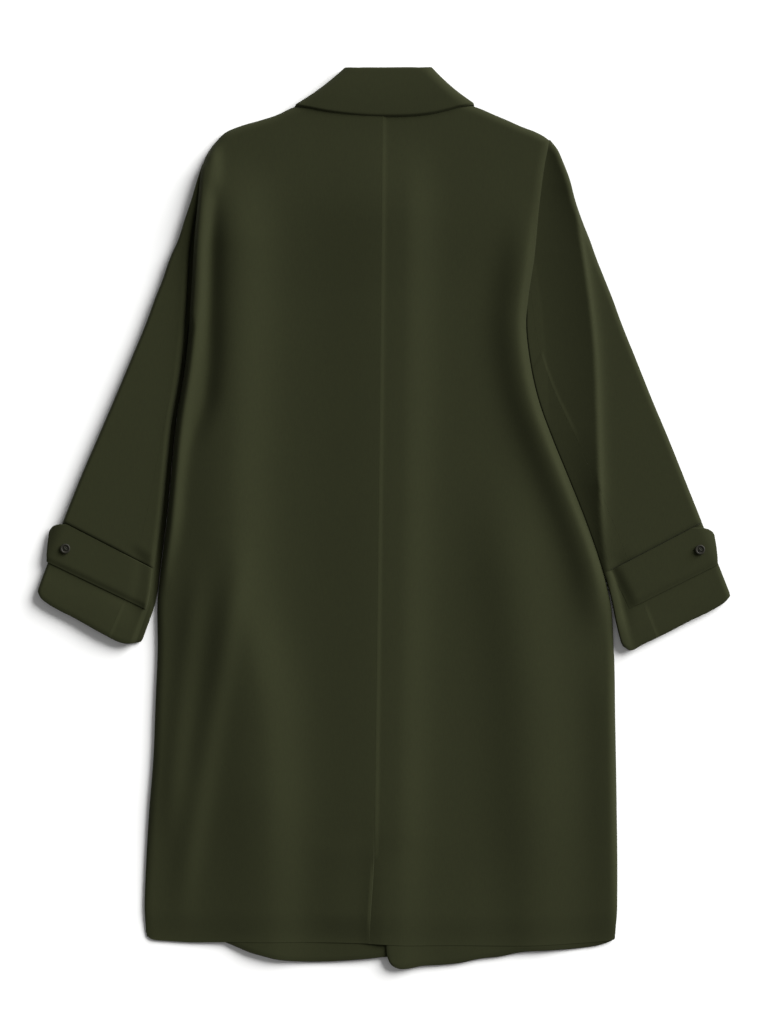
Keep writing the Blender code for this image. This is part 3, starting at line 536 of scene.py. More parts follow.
    def neck_points(self, side: Side, steps: Points) -> Points:
        """Front neckline where collar and front are sewn.

        Args:
            side: Which front.
            steps: Shares from the shoulder to the centre front.

        Returns:
            The points.
        """
        line = rounded(self.front_neck[side], 240)
        length = lengths_along(line)
        centre = length[int(np.argmin(np.abs(line[:, 0] - self.collar_centre_x)))] / length[-1]
        at = 1 - np.asarray(steps) * (1 - centre)
        return along(line, at)


@dataclass(frozen=True)
class Edge:
    """How an edge is finished.

    Its outer face comes down over a run until a share of the wall is left, and the rim left is rounded.
    """

    radius: Points | float
    depth: Points | float
    run: float = 1.0
    left: Points | float = 1.0

    def wall(self, gap: Points) -> Points:
        """Share of the wall that is left at a distance from the edge."""
        return self.left + (1.0 - self.left) * smooth(0.0, self.run, gap)

    def rim(self, gap: Points) -> Points:
        """Share of that wall which the rounding of the rim leaves."""
        return 1.0 - self.depth * (1.0 - quarter(gap / self.radius))


SEAM = Edge(radius=0.4, depth=0.04)
HEM = Edge(radius=0.9, depth=1.0, run=6.0, left=0.75)
BACK_HEM = Edge(radius=0.25, depth=1.0, run=40.0, left=0.08)
VENT = Edge(radius=0.5, depth=1.0, run=4.0, left=0.65)
FALL = Edge(radius=0.3, depth=1.0, run=3.0, left=0.25)
CUFF = Edge(radius=1.0, depth=1.0, run=5.0, left=0.7)
STRAP_TOP = Edge(radius=0.3, depth=1.0)
STRAP_LOW = Edge(radius=0.4, depth=1.0, run=8.0, left=0.4)
STRAP_END = Edge(radius=0.5, depth=1.0, run=2.0, left=0.75)
SEWN_IN = Edge(radius=0.5, depth=1.0, run=9.0, left=0.05)
SEWN_FLAT = Edge(radius=0.5, depth=1.0, run=15.0, left=0.05)


@dataclass
class Panel:
    """One cut piece of cloth as a grid along its middle, closed into a wall with rounded edges."""

    name: str
    mid: Points
    # Edges in order: first row, last row, first column, last column
    edges: tuple[Edge, Edge, Edge, Edge]
    normal: Points | None = None

    def __post_init__(self) -> None:
        """Work out the normals, pointing up where the piece is highest."""
        if self.normal is None:
            self.normal = grid_normals(self.mid)
            if self.normal[..., 2].sum() < 0:
                self.normal = -self.normal

    def walls(self) -> tuple[Points, Points]:
        """Thickness at each point.

        Returns:
            Half of the wall, and how far its middle is pressed in.
        """
        rows = np.cumsum(np.linalg.norm(np.diff(self.mid, axis=0), axis=-1), axis=0)
        rows = np.concatenate([np.zeros((1, rows.shape[1])), rows])
        columns = np.cumsum(np.linalg.norm(np.diff(self.mid, axis=1), axis=-1), axis=1)
        columns = np.concatenate([np.zeros((columns.shape[0], 1)), columns], axis=1)
        reach = (rows, rows[-1:] - rows, columns, columns[:, -1:] - columns)
        wall = np.ones(rows.shape)
        rim = np.ones(rows.shape)
        for gap, edge in zip(reach, self.edges):
            wall = wall * edge.wall(gap)
            rim = rim * edge.rim(gap)
        return CLOTH.half * wall * rim, CLOTH.half * (1.0 - wall)

    def cut(self) -> tuple[float, float, float]:
        """Width, length and area of the flat cut in metres."""
        rows = np.linalg.norm(np.diff(self.mid, axis=1), axis=-1).sum(axis=1).max()
        columns = np.linalg.norm(np.diff(self.mid, axis=0), axis=-1).sum(axis=0).max()
        across = np.diff(self.mid, axis=1)[:-1]
        up = np.diff(self.mid, axis=0)[:, :-1]
        area = np.linalg.norm(np.cross(across, up), axis=-1).sum()
        width = float(rows) / 1000
        length = float(columns) / 1000
        return width, length, min(float(area) / 1e6, width * length)

    def build(self) -> bpy.types.Object:
        """Make the closed wall.

        Returns:
            The piece's object.
        """
        rows, columns = self.mid.shape[:2]
        half, pressed = self.walls()
        outer = (self.mid + self.normal * (half - pressed)[..., None]).reshape(-1, 3)
        inner = (self.mid - self.normal * (half + pressed)[..., None]).reshape(-1, 3)
        over = np.arange(rows * columns).reshape(rows, columns)
        under = over + rows * columns
        tops = np.stack([over[:-1, :-1], over[:-1, 1:], over[1:, 1:], over[1:, :-1]], axis=-1)
        bases = np.stack([under[:-1, :-1], under[1:, :-1], under[1:, 1:], under[:-1, 1:]], axis=-1)
        rim = np.concatenate([over[0, :-1], over[:-1, -1], over[-1, :0:-1], over[:0:-1, 0]])
        after = np.roll(rim, -1)
        sides = np.stack([rim, rim + rows * columns, after + rows * columns, after], axis=-1)
        faces = np.concatenate([tops.reshape(-1, 4), bases.reshape(-1, 4), sides])
        return mesh_object(self.name, np.concatenate([outer, inner]), faces.tolist())


def mesh_object(name: str, vertices: Points, faces: list) -> bpy.types.Object:
    """Make one smooth-shaded object in metres with its faces turned outward.

    Args:
        name: Name of the piece.
        vertices: Points in millimetres.
        faces: Point numbers of each face.

    Returns:
        The object, linked to the scene.
    """
    mesh = bpy.data.meshes.new(name)
    mesh.from_pydata((np.asarray(vertices, float) * 0.001).tolist(), [], faces)
    work = bmesh.new()
    work.from_mesh(mesh)
    bmesh.ops.remove_doubles(work, verts=work.verts, dist=WELD / 1000)
    bmesh.ops.recalc_face_normals(work, faces=work.faces)
    work.to_mesh(mesh)
    work.free()
    mesh.shade_smooth()
    thing = bpy.data.objects.new(name, mesh)
    bpy.context.scene.collection.objects.link(thing)
    return thing


def dress(thing: bpy.types.Object, node: str, slot: Slot, material: bpy.types.Material) -> bpy.types.Object:
    """Put a piece in the place of its CAD node.

    Args:
        thing: The piece.
        node: CAD node that it stands for, or an empty word for an added piece.
        slot: Record's slot of its finish; not used.
        material: Its finish.

    Returns:
        The piece.
    """
    thing.data.materials.append(material)
    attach(thing, "root")
    if node:
        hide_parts(node)
    LOG.info("%s: %d faces", thing.name, len(thing.data.polygons))
    return thing


@dataclass
class Sleeve:
    """A sleeve that lies flat, as loops from the armhole to the cuff, in a top and an under piece."""

    side: Side
    layout: Layout
    # Outer edge from shoulder point to cuff. Columns: distance out, y
    outer: Table
    # Inner edge once it parts from the body. Columns: distance out, y
    inner_end: Table
    full_z: float
    # Crest beside the armhole. Columns: y, distance out. Empty where there is none
    crest: Table = ()
    # Hem of the cuff. Columns: share across from the inner edge, distance past a straight line
    cuff: Table = ((0, 0), (1, 0))
    crest_rise: float = 5.5
    crest_run: float = 60.0
    crest_fall: float = 8.0
    crest_fade: float = 5.0
    crest_slope: float = 0.25
    # Crest: where its own rise starts and is whole, its least way out, its first height, and how straight
    # it climbs
    crest_ends: tuple[float, float] = (-170.0, -60.0)
    crest_least: float = 2.0
    crest_start: float = 1.5
    crest_straight: float = 0.45
    # Slow wave of a sleeve without a crest: height and length
    wave: float = 0.8
    wave_run: float = 70.0
    # Least height of the upper layer past the crest
    level_z: float = 10.0
    seam_slope: float = 11.0
    # Width of the low part beside the body
    inner_flat: float = 0.0
    tip_z: float = 3.3
    start_run: float = 0.04
    cuff_run: float = 0.94
    side_clear: float = 0.8
    fan: float = 1.45
    # Seam on the upper layer. Columns: share of the length, share across from the inner edge
    back_seam: Table = ((0, 0.15), (0.26, 0.13), (0.39, 0.16), (0.5, 0.19), (0.6, 0.208), (0.75, 0.225),
                        (0.93, 0.265), (1, 0.287))
    under_seam: float = 0.32
    # Its allowances are pressed to the picture's left: height of the step, the shares of the length it
    # shows on, and how soon it starts and fades there
    welt: float = 0.6
    welt_shows: Table = ((0.28, 0.56), (0.95, 1.1))
    welt_start: float = 0.015
    welt_fade: float = 0.08
    welt_run: tuple[float, float] = (5.5, 60.0)
    roll: float = 6.0
    roll_inner: float = 6.0
    roll_max: float = 22.0
    # Height of the inner turned edge between the layers, and the way across that it takes to come to half
    inner_level: float = 0.5
    inner_between: tuple[float, float] = (5.0, 40.0)
    # The seam stays this far past the inner turned edge
    seam_clear: float = 4.0
    # Share of the length over which the loops bow along the armhole, the step that finds the direction of
    # an edge, and the least slant of the loop to it
    bow_run: float = 0.2
    look: float = 0.004
    least_slant: float = 0.05
    step: float = 4.5
    length: float = 600.0
    # Part of the length that the tab draws in, how far, and over what run
    tab_from: float = 0.843
    tab_to: float = 0.932
    cinch: float = 3.5
    cinch_run: float = 0.0045
    cuff_slack: float = 0.5
    slack_run: float = 0.05
    # Above the tab's sewn end the cloth dips: how far, where across, and over what half width
    dip: float = 1.5
    dip_at: float = 20.0
    dip_half: float = 13.0
    dip_run: float = 0.035
    # The inner edge stays up as a rim beside the tab, with a pocket where the tab goes into the seam
    rim: float = 7.0
    rim_run: float = 8.0
    pocket: float = 1.5
    pocket_at: float = 18.0
    pocket_half: float = 8.0

    def __post_init__(self) -> None:
        """Lay out the armhole, outer edge and inner edge."""
        sign = self.side.value
        low = self.layout.underarm_y[self.side]
        arm_y = np.linspace(low, self.layout.shoulder_y[self.side], 240)
        arm_x = self.layout.edge_out(self.side, arm_y) + CLOTH.gap / 2
        self.arm = np.stack([sign * arm_x, arm_y], axis=-1)
        self.outer_line = rounded([(sign * out, y) for out, y in self.outer], 480)
        down_y = np.linspace(low - 0.5, self.inner_end[0][1] + 12, 320)
        run_x = self.layout.edge_out(self.side, down_y) + self.side_clear + CLOTH.half
        run = np.stack([sign * run_x, down_y], axis=-1)
        last = rounded([(sign * out, y) for out, y in self.inner_end], 80)
        self.inner_line = np.concatenate([self.arm[:1], run, last])
        ends = [unit(along(line, 1.0) - along(line, 0.95)) for line in (self.inner_line, self.outer_line)]
        self.axis = unit(ends[0] + ends[1])

    def top_z(self, x: Points, y: Points) -> Points:
        """Height of the middle of the upper layer.

        Args:
            x: Places across the coat.
            y: Places up the coat.

        Returns:
            Height at each place.
        """
        out = self.side.value * x
        edge = self.layout.edge_out(self.side, y) + CLOTH.gap / 2
        low = self.layout.armhole_at(self.side, y)
        if not self.crest:
            full = self.full_z + self.wave * np.sin(y / self.wave_run)
            flat = self.inner_flat * (1.0 - smooth(*self.layout.climb_between, y))
            return low + (full - low) * quarter((out - edge - flat) / self.seam_slope)
        crest = np.maximum(through(self.crest, y), edge + self.crest_least)
        rise = self.crest_rise * smooth(*self.crest_ends, y)
        steep = self.crest_slope * (crest - edge) + self.crest_start
        high = low + np.minimum(self.full_z + rise - low, steep)
        share = np.clip(1.0 - (crest - out) / np.minimum(self.crest_run, crest - edge), 0, 1)
        straight = self.crest_straight
        climb = low + (high - low) * (straight * share + (1.0 - straight) * share ** 2)
        drop = np.clip(high - self.level_z, 0.0, self.crest_fall)
        fall = high - drop * (1.0 - np.exp(-(out - crest) / self.crest_fade))
        return np.where(out < crest, climb, fall)

    def step_at(self, t: float, c: Points, width: float) -> Points:
        """Height that the pressed allowances of the back seam add.

        Args:
            t: Share of the sleeve's length.
            c: Distances across from the inner end.
            width: Width of the flat loop.

        Returns:
            Added height at each place.
        """
        off = self.side.value * (c - float(through(self.back_seam, t)) * width)
        short, long = self.welt_run
        start, fade = self.welt_start, self.welt_fade
        height = self.welt * sum(float(smooth(low - start, low, t) * (1.0 - smooth(high - fade, high, t)))
                                 for low, high in self.welt_shows)
        return height * np.where(off > 0, 1.0 - smooth(0, short, off), 1.0 - smooth(0, long, -off))

    def drawn_in(self, t: float, c: Points) -> Points:
        """How far the tab presses the upper layer down.

        Args:
            t: Share of the sleeve's length.
            c: Distances across from the inner end.

        Returns:
            Depth at each place.
        """
        start = float(smooth(self.tab_from - self.cinch_run, self.tab_from, t))
        past = float(smooth(self.tab_to, self.tab_to + self.slack_run, t))
        ahead = float(smooth(self.tab_from - self.dip_run, self.tab_from - self.cinch_run, t)) * (1.0 - start)
        dip = self.dip * ahead * np.exp(-(((c - self.dip_at) / self.dip_half) ** 2))
        pocket = self.pocket * (1.0 - past) * np.exp(-(((c - self.pocket_at) / self.pocket_half) ** 2))
        drawn = self.cinch * (1.0 - self.cuff_slack * past) * smooth(self.rim, self.rim + self.rim_run, c)
        return dip + start * (drawn + pocket)

    def line(self, t: float) -> tuple[Points, Points]:
        """Inner and outer end of the flat loop at a share of the length."""
        return along(self.inner_line, t ** self.fan), along(self.outer_line, t)

    def place(self, t: float, share: Points) -> Points:
        """Plan points across the loop, bowed along the armhole at its start.

        Args:
            t: Share of the sleeve's length.
            share: Shares across, from the inner edge.

        Returns:
            Plan points.
        """
        head, foot = self.line(t)
        share = np.asarray(share, float)[..., None]
        bow = along(self.arm, share[..., 0]) - (self.arm[0] + (self.arm[-1] - self.arm[0]) * share)
        drop = through(self.cuff, share) * float(smooth(self.cuff_run, 1.0, t))
        bowed = bow * float(1.0 - smooth(0.0, self.bow_run, t))
        return head + (foot - head) * share + bowed + self.axis * drop

    def rolls(self, t: float) -> tuple[float, float, float]:
        """Width of the flat loop and the run of its inner and outer turned edges."""
        head, foot = self.line(t)
        width = float(np.linalg.norm(foot - head))
        across = (foot - head) / width
        low, high = max(t - self.look, 0.0), min(t + self.look, 1.0)
        runs = []
        sides = ((self.inner_line, self.fan, self.roll_inner), (self.outer_line, 1.0, self.roll))
        for line, power, roll in sides:
            step = unit(along(line, high ** power) - along(line, low ** power))
            slant = abs(across[0] * step[1] - across[1] * step[0])
            runs.append(min(roll / max(slant, self.least_slant), self.roll_max))
        start = 1.0 - float(smooth(0.0, self.start_run, t))
        layout = self.layout
        roll_in = runs[0] + (layout.underarm_round - runs[0]) * start
        return width, roll_in, runs[1] + (layout.arm_round[self.side] - runs[1]) * start

    def point(self, t: float, layer: Points | int, c: Points | float) -> Points:
        """Middle of the cloth on a loop.

        Args:
            t: Share of the sleeve's length.
            layer: 1 on the upper layer, -1 on the lower.
            c: Distance across from the loop's inner end.

        Returns:
            Points of the loop.
        """
        width, roll_in, roll_out = self.rolls(t)
        c = np.asarray(c, float)
        plan = self.place(t, c / width)
        top = self.top_z(plan[..., 0], plan[..., 1]) - self.drawn_in(t, c) + self.step_at(t, c, width)
        start = 1.0 - float(smooth(0.0, self.start_run, t))
        level = 0.5 + (self.inner_level - 0.5) * (1.0 - smooth(*self.inner_between, c))
        middle = (FLOOR_MID + (top - FLOOR_MID) * level) * (1.0 - start) + self.tip_z * start
        flat = np.where(layer > 0, self.inner_flat * (1.0 - start), 0.0)
        full = quarter((c - flat) / roll_in) * quarter((width - c) / roll_out)
        z = middle + np.where(layer > 0, top - middle, FLOOR_MID - middle) * full
        return np.concatenate([plan, z[..., None]], axis=-1)

    def loop(self, t: float) -> tuple[Points, int]:
        """One loop of points round the sleeve.

        Args:
            t: Share of the sleeve's length.

        Returns:
            The points, and how many of them are on the top piece.
        """
        width, roll_in, roll_out = self.rolls(t)
        gap = CLOTH.gap / 2
        seam = max(float(through(self.back_seam, t)) * width, roll_in + self.inner_flat + self.seam_clear)
        lower = self.under_seam * width
        wide = shares(100.0, 2.0, SEAM_STEPS, (0.0,))
        narrow = shares(34.0, 3.4, SEAM_STEPS, (0.0,))
        angles = np.radians(np.arange(80.0, 0.0, -10.0))
        bend = 1.0 - np.cos(angles)
        upper_c = [seam + gap + (width - roll_out - seam - gap) * wide, width - roll_out * bend, [width]]
        lower_c = [(width - roll_out * bend)[::-1],
                   (lower + gap + (width - roll_out - lower - gap) * wide)[::-1]]
        under_low = [lower - gap + (roll_in - lower + gap) * narrow, roll_in * bend]
        under_up = [[0.0], (roll_in * bend)[::-1], (seam - gap + (roll_in - seam + gap) * narrow)[::-1]]
        runs = [(Layer.UPPER, upper_c), (Layer.LOWER, lower_c),
                (Layer.LOWER, under_low), (Layer.UPPER, under_up)]
        c = np.concatenate([np.concatenate(values) for _, values in runs])
        layer = np.concatenate([np.full(sum(len(v) for v in values), one.value) for one, values in runs])
        count = sum(len(v) for v in upper_c) + sum(len(v) for v in lower_c)
        return self.point(t, layer, c), count

    def build(self, material: bpy.types.Material) -> None:
        """Make both pieces of the sleeve in the cloth's finish."""
        groove = self.tab_from - self.cinch_run * np.linspace(1.0, 0.0, 5)
        ts = np.unique(np.append(shares(self.length, self.step, SEAM_STEPS, HEM_STEPS), groove))
        loops = [self.loop(t) for t in ts]
        mid = np.array([points for points, _ in loops])
        count = loops[0][1]
        joined = np.concatenate([mid[:, -1:], mid, mid[:, :1]], axis=1)
        normal = grid_normals(joined)[:, 1:-1]
        middle = len(ts) // 2
        if normal[middle, int(np.argmax(mid[middle, :, 2])), 2] < 0:
            normal = -normal
        label = self.side.label
        for word, part in (("top", slice(None, count)), ("under", slice(count, None))):
            lay_cloth(f"sleeve_{word}_{label}", mid[:, part], (SEAM, CUFF, SEAM, SEAM), material,
                      normal[:, part])


def lay_cloth(node: str, mid: Points, edges: tuple[Edge, Edge, Edge, Edge], material: bpy.types.Material,
              normal: Points | None = None, slot: Slot = Slot.WOOL) -> Panel:
    """Build a panel, put it in its node's place and state its cut.

    Args:
        node: CAD node that it stands for.
        mid: Grid along its middle.
        edges: Its edges: first row, last row, first column, last column.
        material: Its finish.
        normal: Normals of the grid, where the panel cannot work them out.
        slot: Record's slot of its finish.

    Returns:
        The panel.
    """
    panel = Panel(node + "_cloth", mid, edges, normal)
    thing = dress(panel.build(), node, slot, material)
    width, length, area = panel.cut()
    LOG.info("%s: cut %.3f by %.3f m, %.4f square metres", thing.name, width, length, area)
    return panel


@dataclass
class BackHalf:
    """Half of the back: seamed at the centre, lapped left over right at the vent, rolled over at its side."""

    side: Side
    layout: Layout
    # Hem. Columns: x, y
    hem: Table = ((-299, -527.5), (-270, -529.5), (-240, -531), (-205, -530.5), (-150, -530.5), (-55, -531),
                  (-12, -532), (30, -534), (80, -534), (195, -534.4), (226, -533), (270, -530), (291, -528))
    hem_level: float = -527.0
    vent_top: float = -424.0
    vent_slant: float = 22.0
    vent_lap: float = 35.0
    vent_swing: float = 4.5
    side_roll: float = 9.0
    armhole_roll: dict[Side, float] = by_side(right=10.0, left=5.0)
    edge_spare: float = -0.7
    step: float = 4.2
    # Seam allowances pressed to the left: how high they lift the seam, and where that ends on either side
    welt_rise: float = 1.1
    welt_end: dict[Side, float] = by_side(right=6.5, left=90.0)
    # Softened corner at the hem: how far it is drawn in, and over what run
    corner: dict[Side, float] = by_side(right=1.2, left=3.2)
    corner_run: float = 11.0
    # Where the hem crosses the centre, where the vent starts to swing open, and how its lap fades out
    hem_centre_x: float = -12.0
    swing_from: float = -530.0
    vent_fade: float = 32.0
    lap_fade: tuple[float, float] = (6.0, 60.0)
    # Extra height over the seam's end at the neck and at the shoulder point, and the rings it fades over
    neck_lift: float = 1.4
    neck_ring: tuple[float, float] = (3.0, 22.0)
    tip_lift: float = 0.5
    tip_ring: tuple[float, float] = (2.0, 14.0)
    # The armhole is further out than this, and the fronts' lift reaches this much further under the back
    arm_from: float = 150.0
    front_grow: float = 14.0
    # Width and length that the grid's steps are worked out for
    size: tuple[float, float] = (250.0, 1010.0)

    def side_line(self, share: float) -> tuple[float, float]:
        """Point of the side edge at a share from the hem."""
        sign = self.side.value
        y = self.hem_y + share * (self.tip[1] - self.hem_y)
        arm = float(self.layout.arm_share(self.side, y))
        near = CLOTH.gap / 2
        inward = near + (CLOTH.half + self.edge_spare - near) * min(1.0, (1 - arm) * 4)
        inward += self.softened(y - self.hem_y)
        drop = CLOTH.half * float(smooth(0.97, 1.0, share))
        return sign * (float(self.layout.edge_out(self.side, y)) - inward), y - drop

    def softened(self, gap: float) -> float:
        """How far an edge is drawn in at a distance from the hem's corner."""
        return self.corner[self.side] * max(1.0 - gap / self.corner_run, 0.0) ** 2

    def centre_line(self, share: float) -> tuple[float, float]:
        """Point of the centre-back edge at a share from the hem."""
        hem = float(through(self.hem, self.hem_centre_x))
        y = hem + share * (self.layout.neck_back_y - CLOTH.gap / 2 - hem)
        x = float(through(self.layout.centre_back, y)) + self.side.value * CLOTH.gap / 2
        if self.side is Side.LEFT:
            return x - self.vent_swing * (1.0 - float(smooth(self.swing_from, self.vent_top, y))), y
        return x - self.vent_lap * float(np.clip((self.vent_top - y) / self.vent_slant, 0, 1)), y

    def hem_line(self, share: float) -> tuple[float, float]:
        """Point of the hem at a share from the centre."""
        start = self.centre_line(0.0)[0]
        stop = self.side_line(0.0)[0]
        x = start + share * (stop - start)
        return x, float(through(self.hem, x)) + self.softened(abs(stop - x))

    def top_line(self, share: float) -> tuple[float, float]:
        """Point of the neck and shoulder at a share from the centre."""
        first = self.centre_line(1.0)
        if share <= self.neck_share:
            s = share / self.neck_share
            drop = self.neck[1] - CLOTH.half - first[1]
            return first[0] + s * (self.neck[0] - first[0]), first[1] + s * s * drop
        peak = self.side_line(1.0)
        if share >= 1:
            return peak
        x = self.neck[0] + (share - self.neck_share) / (1 - self.neck_share) * (peak[0] - self.neck[0])
        line = self.crown if self.side is Side.RIGHT else self.crown[::-1]
        return x, float(np.interp(x, line[:, 0], line[:, 1])) - CLOTH.half

    def vent_shift(self, x: Points, y: Points) -> Points:
        """Rise of the lap, or drop of the underlap, at the vent."""
        gap = np.abs(x - through(self.layout.centre_back, y))
        depth = 1.0 - smooth(self.vent_top, self.vent_top + self.vent_fade, y)
        lift = (CLOTH.wall + self.layout.hem_spare) / 2
        near, far = self.lap_fade
        fade = 1.0 - smooth(self.vent_lap + near, self.vent_lap + far, gap)
        return -self.side.value * lift * depth * fade

    def grid(self) -> tuple[Points, Edge]:
        """Lay out the panel.

        Returns:
            Middle of the cloth, and its centre edge, which is a seam down to the vent.
        """
        layout = self.layout
        sign = self.side.value
        shoulder = [(sign * out, y) for out, y in layout.shoulder[self.side]]
        self.neck = shoulder[0]
        self.tip = shoulder[-1]
        self.crown = rounded(shoulder, 240)
        hem_x = sign * float(layout.edge_out(self.side, self.hem_level))
        self.hem_y = float(through(self.hem, hem_x)) + self.corner[self.side]
        start = sign * self.centre_line(1.0)[0]
        self.neck_share = (abs(self.neck[0]) - start) / (abs(self.tip[0]) - start)
        sides = turn(self.side_roll, TURN_ANGLES) + PAST_TURN
        us = shares(self.size[0], self.step, SEAM_STEPS, sides)
        us = np.sort(np.append(us, self.neck_share))
        us = us[np.concatenate([[True], np.diff(us) > 1e-4])]
        vs = shares(self.size[1], self.step, HEM_STEPS, sides)
        plan = patch(self.centre_line, self.side_line, self.hem_line, self.top_line, us, vs)
        x, y = plan[..., 0], plan[..., 1]
        z = self.heights(x, y, us)
        free = 1.0 - smooth(self.vent_top - self.vent_slant, self.vent_top, y[:, :1])
        depth = SEAM.depth + (HEM.depth - SEAM.depth) * free
        centre = Edge(VENT.radius, depth, VENT.run, 1.0 - (1.0 - VENT.left) * free)
        return np.concatenate([plan, z[..., None]], axis=-1), centre

    def heights(self, x: Points, y: Points, us: Points) -> Points:
        """Height of the middle of the cloth.

        Args:
            x: Places across the coat.
            y: Places up the coat.
            us: Shares across of the grid's columns.

        Returns:
            Height at each place.
        """
        layout = self.layout
        edge = np.array([self.side_line(v) for v in np.linspace(0, 1, 240)])
        top = np.array([self.top_line(u) for u in np.linspace(self.neck_share, 1, 80)])[::-1]
        reach = distance_to(np.concatenate([edge, top]), x, y)
        reach[:, -1] = 0.0
        reach[-1, us >= self.neck_share - 1e-9] = 0.0
        arm = np.where(self.side.value * x > self.arm_from, layout.arm_share(self.side, y), 0.0)
        neck_gap = np.hypot(x - self.neck[0], y - self.neck[1])
        tip_gap = np.hypot(x - self.tip[0], y - self.tip[1])
        rest = layout.front_mid(self.side, x, y, self.front_grow) + CLOTH.half + CLOTH.spare
        rest = rest + self.neck_lift * (1.0 - smooth(*self.neck_ring, neck_gap))
        rest = rest + self.tip_lift * (1.0 - smooth(*self.tip_ring, tip_gap))
        crook = smooth(*layout.crook_end, y) * (1.0 - smooth(*layout.crook_top, y))
        crook = crook * (self.side is Side.RIGHT)
        end = rest + np.maximum(layout.crook_z[self.side] - rest, 0.0) * crook * (1.0 - arm)
        end = end + (layout.armhole_at(self.side, y) - rest) * arm
        share = quarter(reach / (self.side_roll + (self.armhole_roll[self.side] - self.side_roll) * arm))
        shift = self.vent_shift(x, y)
        welt = self.welt_rise * (1.0 - smooth(0.0, self.welt_end[self.side], np.abs(x - x[:, :1])))
        settle = layout.settled(y) * (layout.hem_rest(self.side, x, y) - layout.back_base - shift)
        top_z = layout.back_top(x, y) + shift + settle + welt * (1.0 - layout.settled(y))
        return end + (top_z - end) * share

    def build(self, material: bpy.types.Material) -> None:
        """Make the panel in the cloth's finish."""
        mid, centre = self.grid()
        label = self.side.label
        lay_cloth(f"back_{label}", mid, (BACK_HEM, SEAM, centre, SEAM), material)


@dataclass
class Front:
    """One front, flat on the floor under the back."""

    side: Side
    layout: Layout
    # Hem. Columns: x, y
    hem: Table
    hem_level: float = -555.0
    side_level: float = -527.0
    neck_share: float = 0.46
    step: float = 6.0
    # How far the side edge stays back under the back, and the corner of the front edge is cut away
    side_back: float = 1.6
    corner: float = 4.0
    corner_run: float = 16.0
    # Step that finds the neckline's direction, and the width and length that the grid's steps are for
    look: float = 0.03
    size: tuple[float, float] = (300.0, 1040.0)

    def build(self, material: bpy.types.Material) -> None:
        """Make the panel in the cloth's finish."""
        layout = self.layout
        sign = self.side.value
        neckline = rounded(layout.front_neck[self.side], 480)
        crown = rounded([(sign * out, y) for out, y in layout.shoulder[self.side]], 240)
        tip = crown[-1]
        edge_x = float(through(layout.front_edge[self.side], self.hem_level))
        hem_edge = (edge_x, float(through(self.hem, edge_x + sign * self.corner)) + self.corner)
        side_x = sign * (float(layout.edge_out(self.side, self.side_level)) - self.side_back)
        hem_side = (side_x, float(through(self.hem, side_x)))
        neck_edge = (layout.front_neck[self.side][0][0], layout.front_neck[self.side][0][1] - CLOTH.gap / 2)

        def softened(gap: float) -> float:
            """How far an edge is cut away at a distance from the front corner."""
            return self.corner * max(1.0 - gap / self.corner_run, 0.0) ** 2

        def left(v: float) -> tuple[float, float]:
            """Front edge."""
            y = hem_edge[1] + v * (neck_edge[1] - hem_edge[1])
            return hem_edge[0] + v * (neck_edge[0] - hem_edge[0]) + sign * softened(y - hem_edge[1]), y

        def right(v: float) -> tuple[float, float]:
            """Side edge."""
            y = hem_side[1] + v * (tip[1] - hem_side[1])
            arm = float(layout.arm_share(self.side, y))
            inward = CLOTH.gap / 2 * arm + self.side_back * (1.0 - arm)
            return sign * (float(layout.edge_out(self.side, y)) - inward), y

        def bottom(u: float) -> tuple[float, float]:
            """Hem."""
            start = hem_edge[0] + sign * self.corner
            x = start + u * (hem_side[0] - start)
            return x, float(through(self.hem, x)) + softened(abs(x - start))

        def top(u: float) -> tuple[float, float]:
            """Neck and shoulder."""
            if u > self.neck_share:
                x, y = along(crown, (u - self.neck_share) / (1 - self.neck_share))
                return x, y
            share = u / self.neck_share
            x, y = along(neckline, share)
            ahead, behind = min(share + self.look, 1), max(share - self.look, 0)
            step = unit(along(neckline, ahead) - along(neckline, behind))
            off = np.array([step[1], -step[0]])
            off = off if off[1] <= 0 else -off
            return x + off[0] * CLOTH.gap / 2, y + off[1] * CLOTH.gap / 2

        us = shares(self.size[0], self.step, HEM_STEPS, HEM_STEPS)
        us = np.sort(np.append(us, self.neck_share))
        vs = shares(self.size[1], self.step, HEM_STEPS, HEM_STEPS)
        plan = patch(left, right, bottom, top, us, vs)
        z = layout.front_mid(self.side, plan[..., 0], plan[..., 1])
        mid = np.concatenate([plan, z[..., None]], axis=-1)
        normal = np.zeros_like(mid)
        normal[..., 2] = 1.0
        lay_cloth(f"front_{self.side.label}", mid, (HEM, SEAM, HEM, HEM), material, normal,
                  Slot.WOOL_FRONT)


@dataclass(frozen=True)
class CollarSection:
    """Section of the collar: neck edge, middle of the roll, fall edge, way it faces, radius of the roll."""

    neck: Points
    roll: Points
    fall: Points
    facing: Points
    radius: float

    def curve(self, bulge: float, hollow: float) -> Points:
        """Points from the neck edge over the roll to the fall's edge.

        Args:
            bulge: How far the fall rounds out in its middle.
            hollow: How far the side of the fall bows in.

        Returns:
            Points of the section.
        """
        facing = unit(self.facing)
        low = self.roll - self.radius * facing
        high = self.roll + self.radius * facing
        away = low - self.neck
        away = unit(away - facing * (away @ facing))
        stand = shares(36.0, 4.0, SEAM_STEPS[:6], (0.0,))[:, None]
        fall = shares(56.0, 3.2, (0.0,), HEM_STEPS)[:, None]
        angles = np.radians(np.arange(15.0, 180.0, 15.0))[:, None]
        over = self.roll - facing * self.radius * np.cos(angles) + away * self.radius * np.sin(angles)
        level = max(float(facing[2]), 0.0)
        round_out = facing * (bulge * level - hollow * (1.0 - float(facing[2]) ** 2)) * np.sin(math.pi * fall)
        rise = self.neck + (low - self.neck) * stand
        return np.concatenate([rise, over, high + (self.fall - high) * fall + round_out])


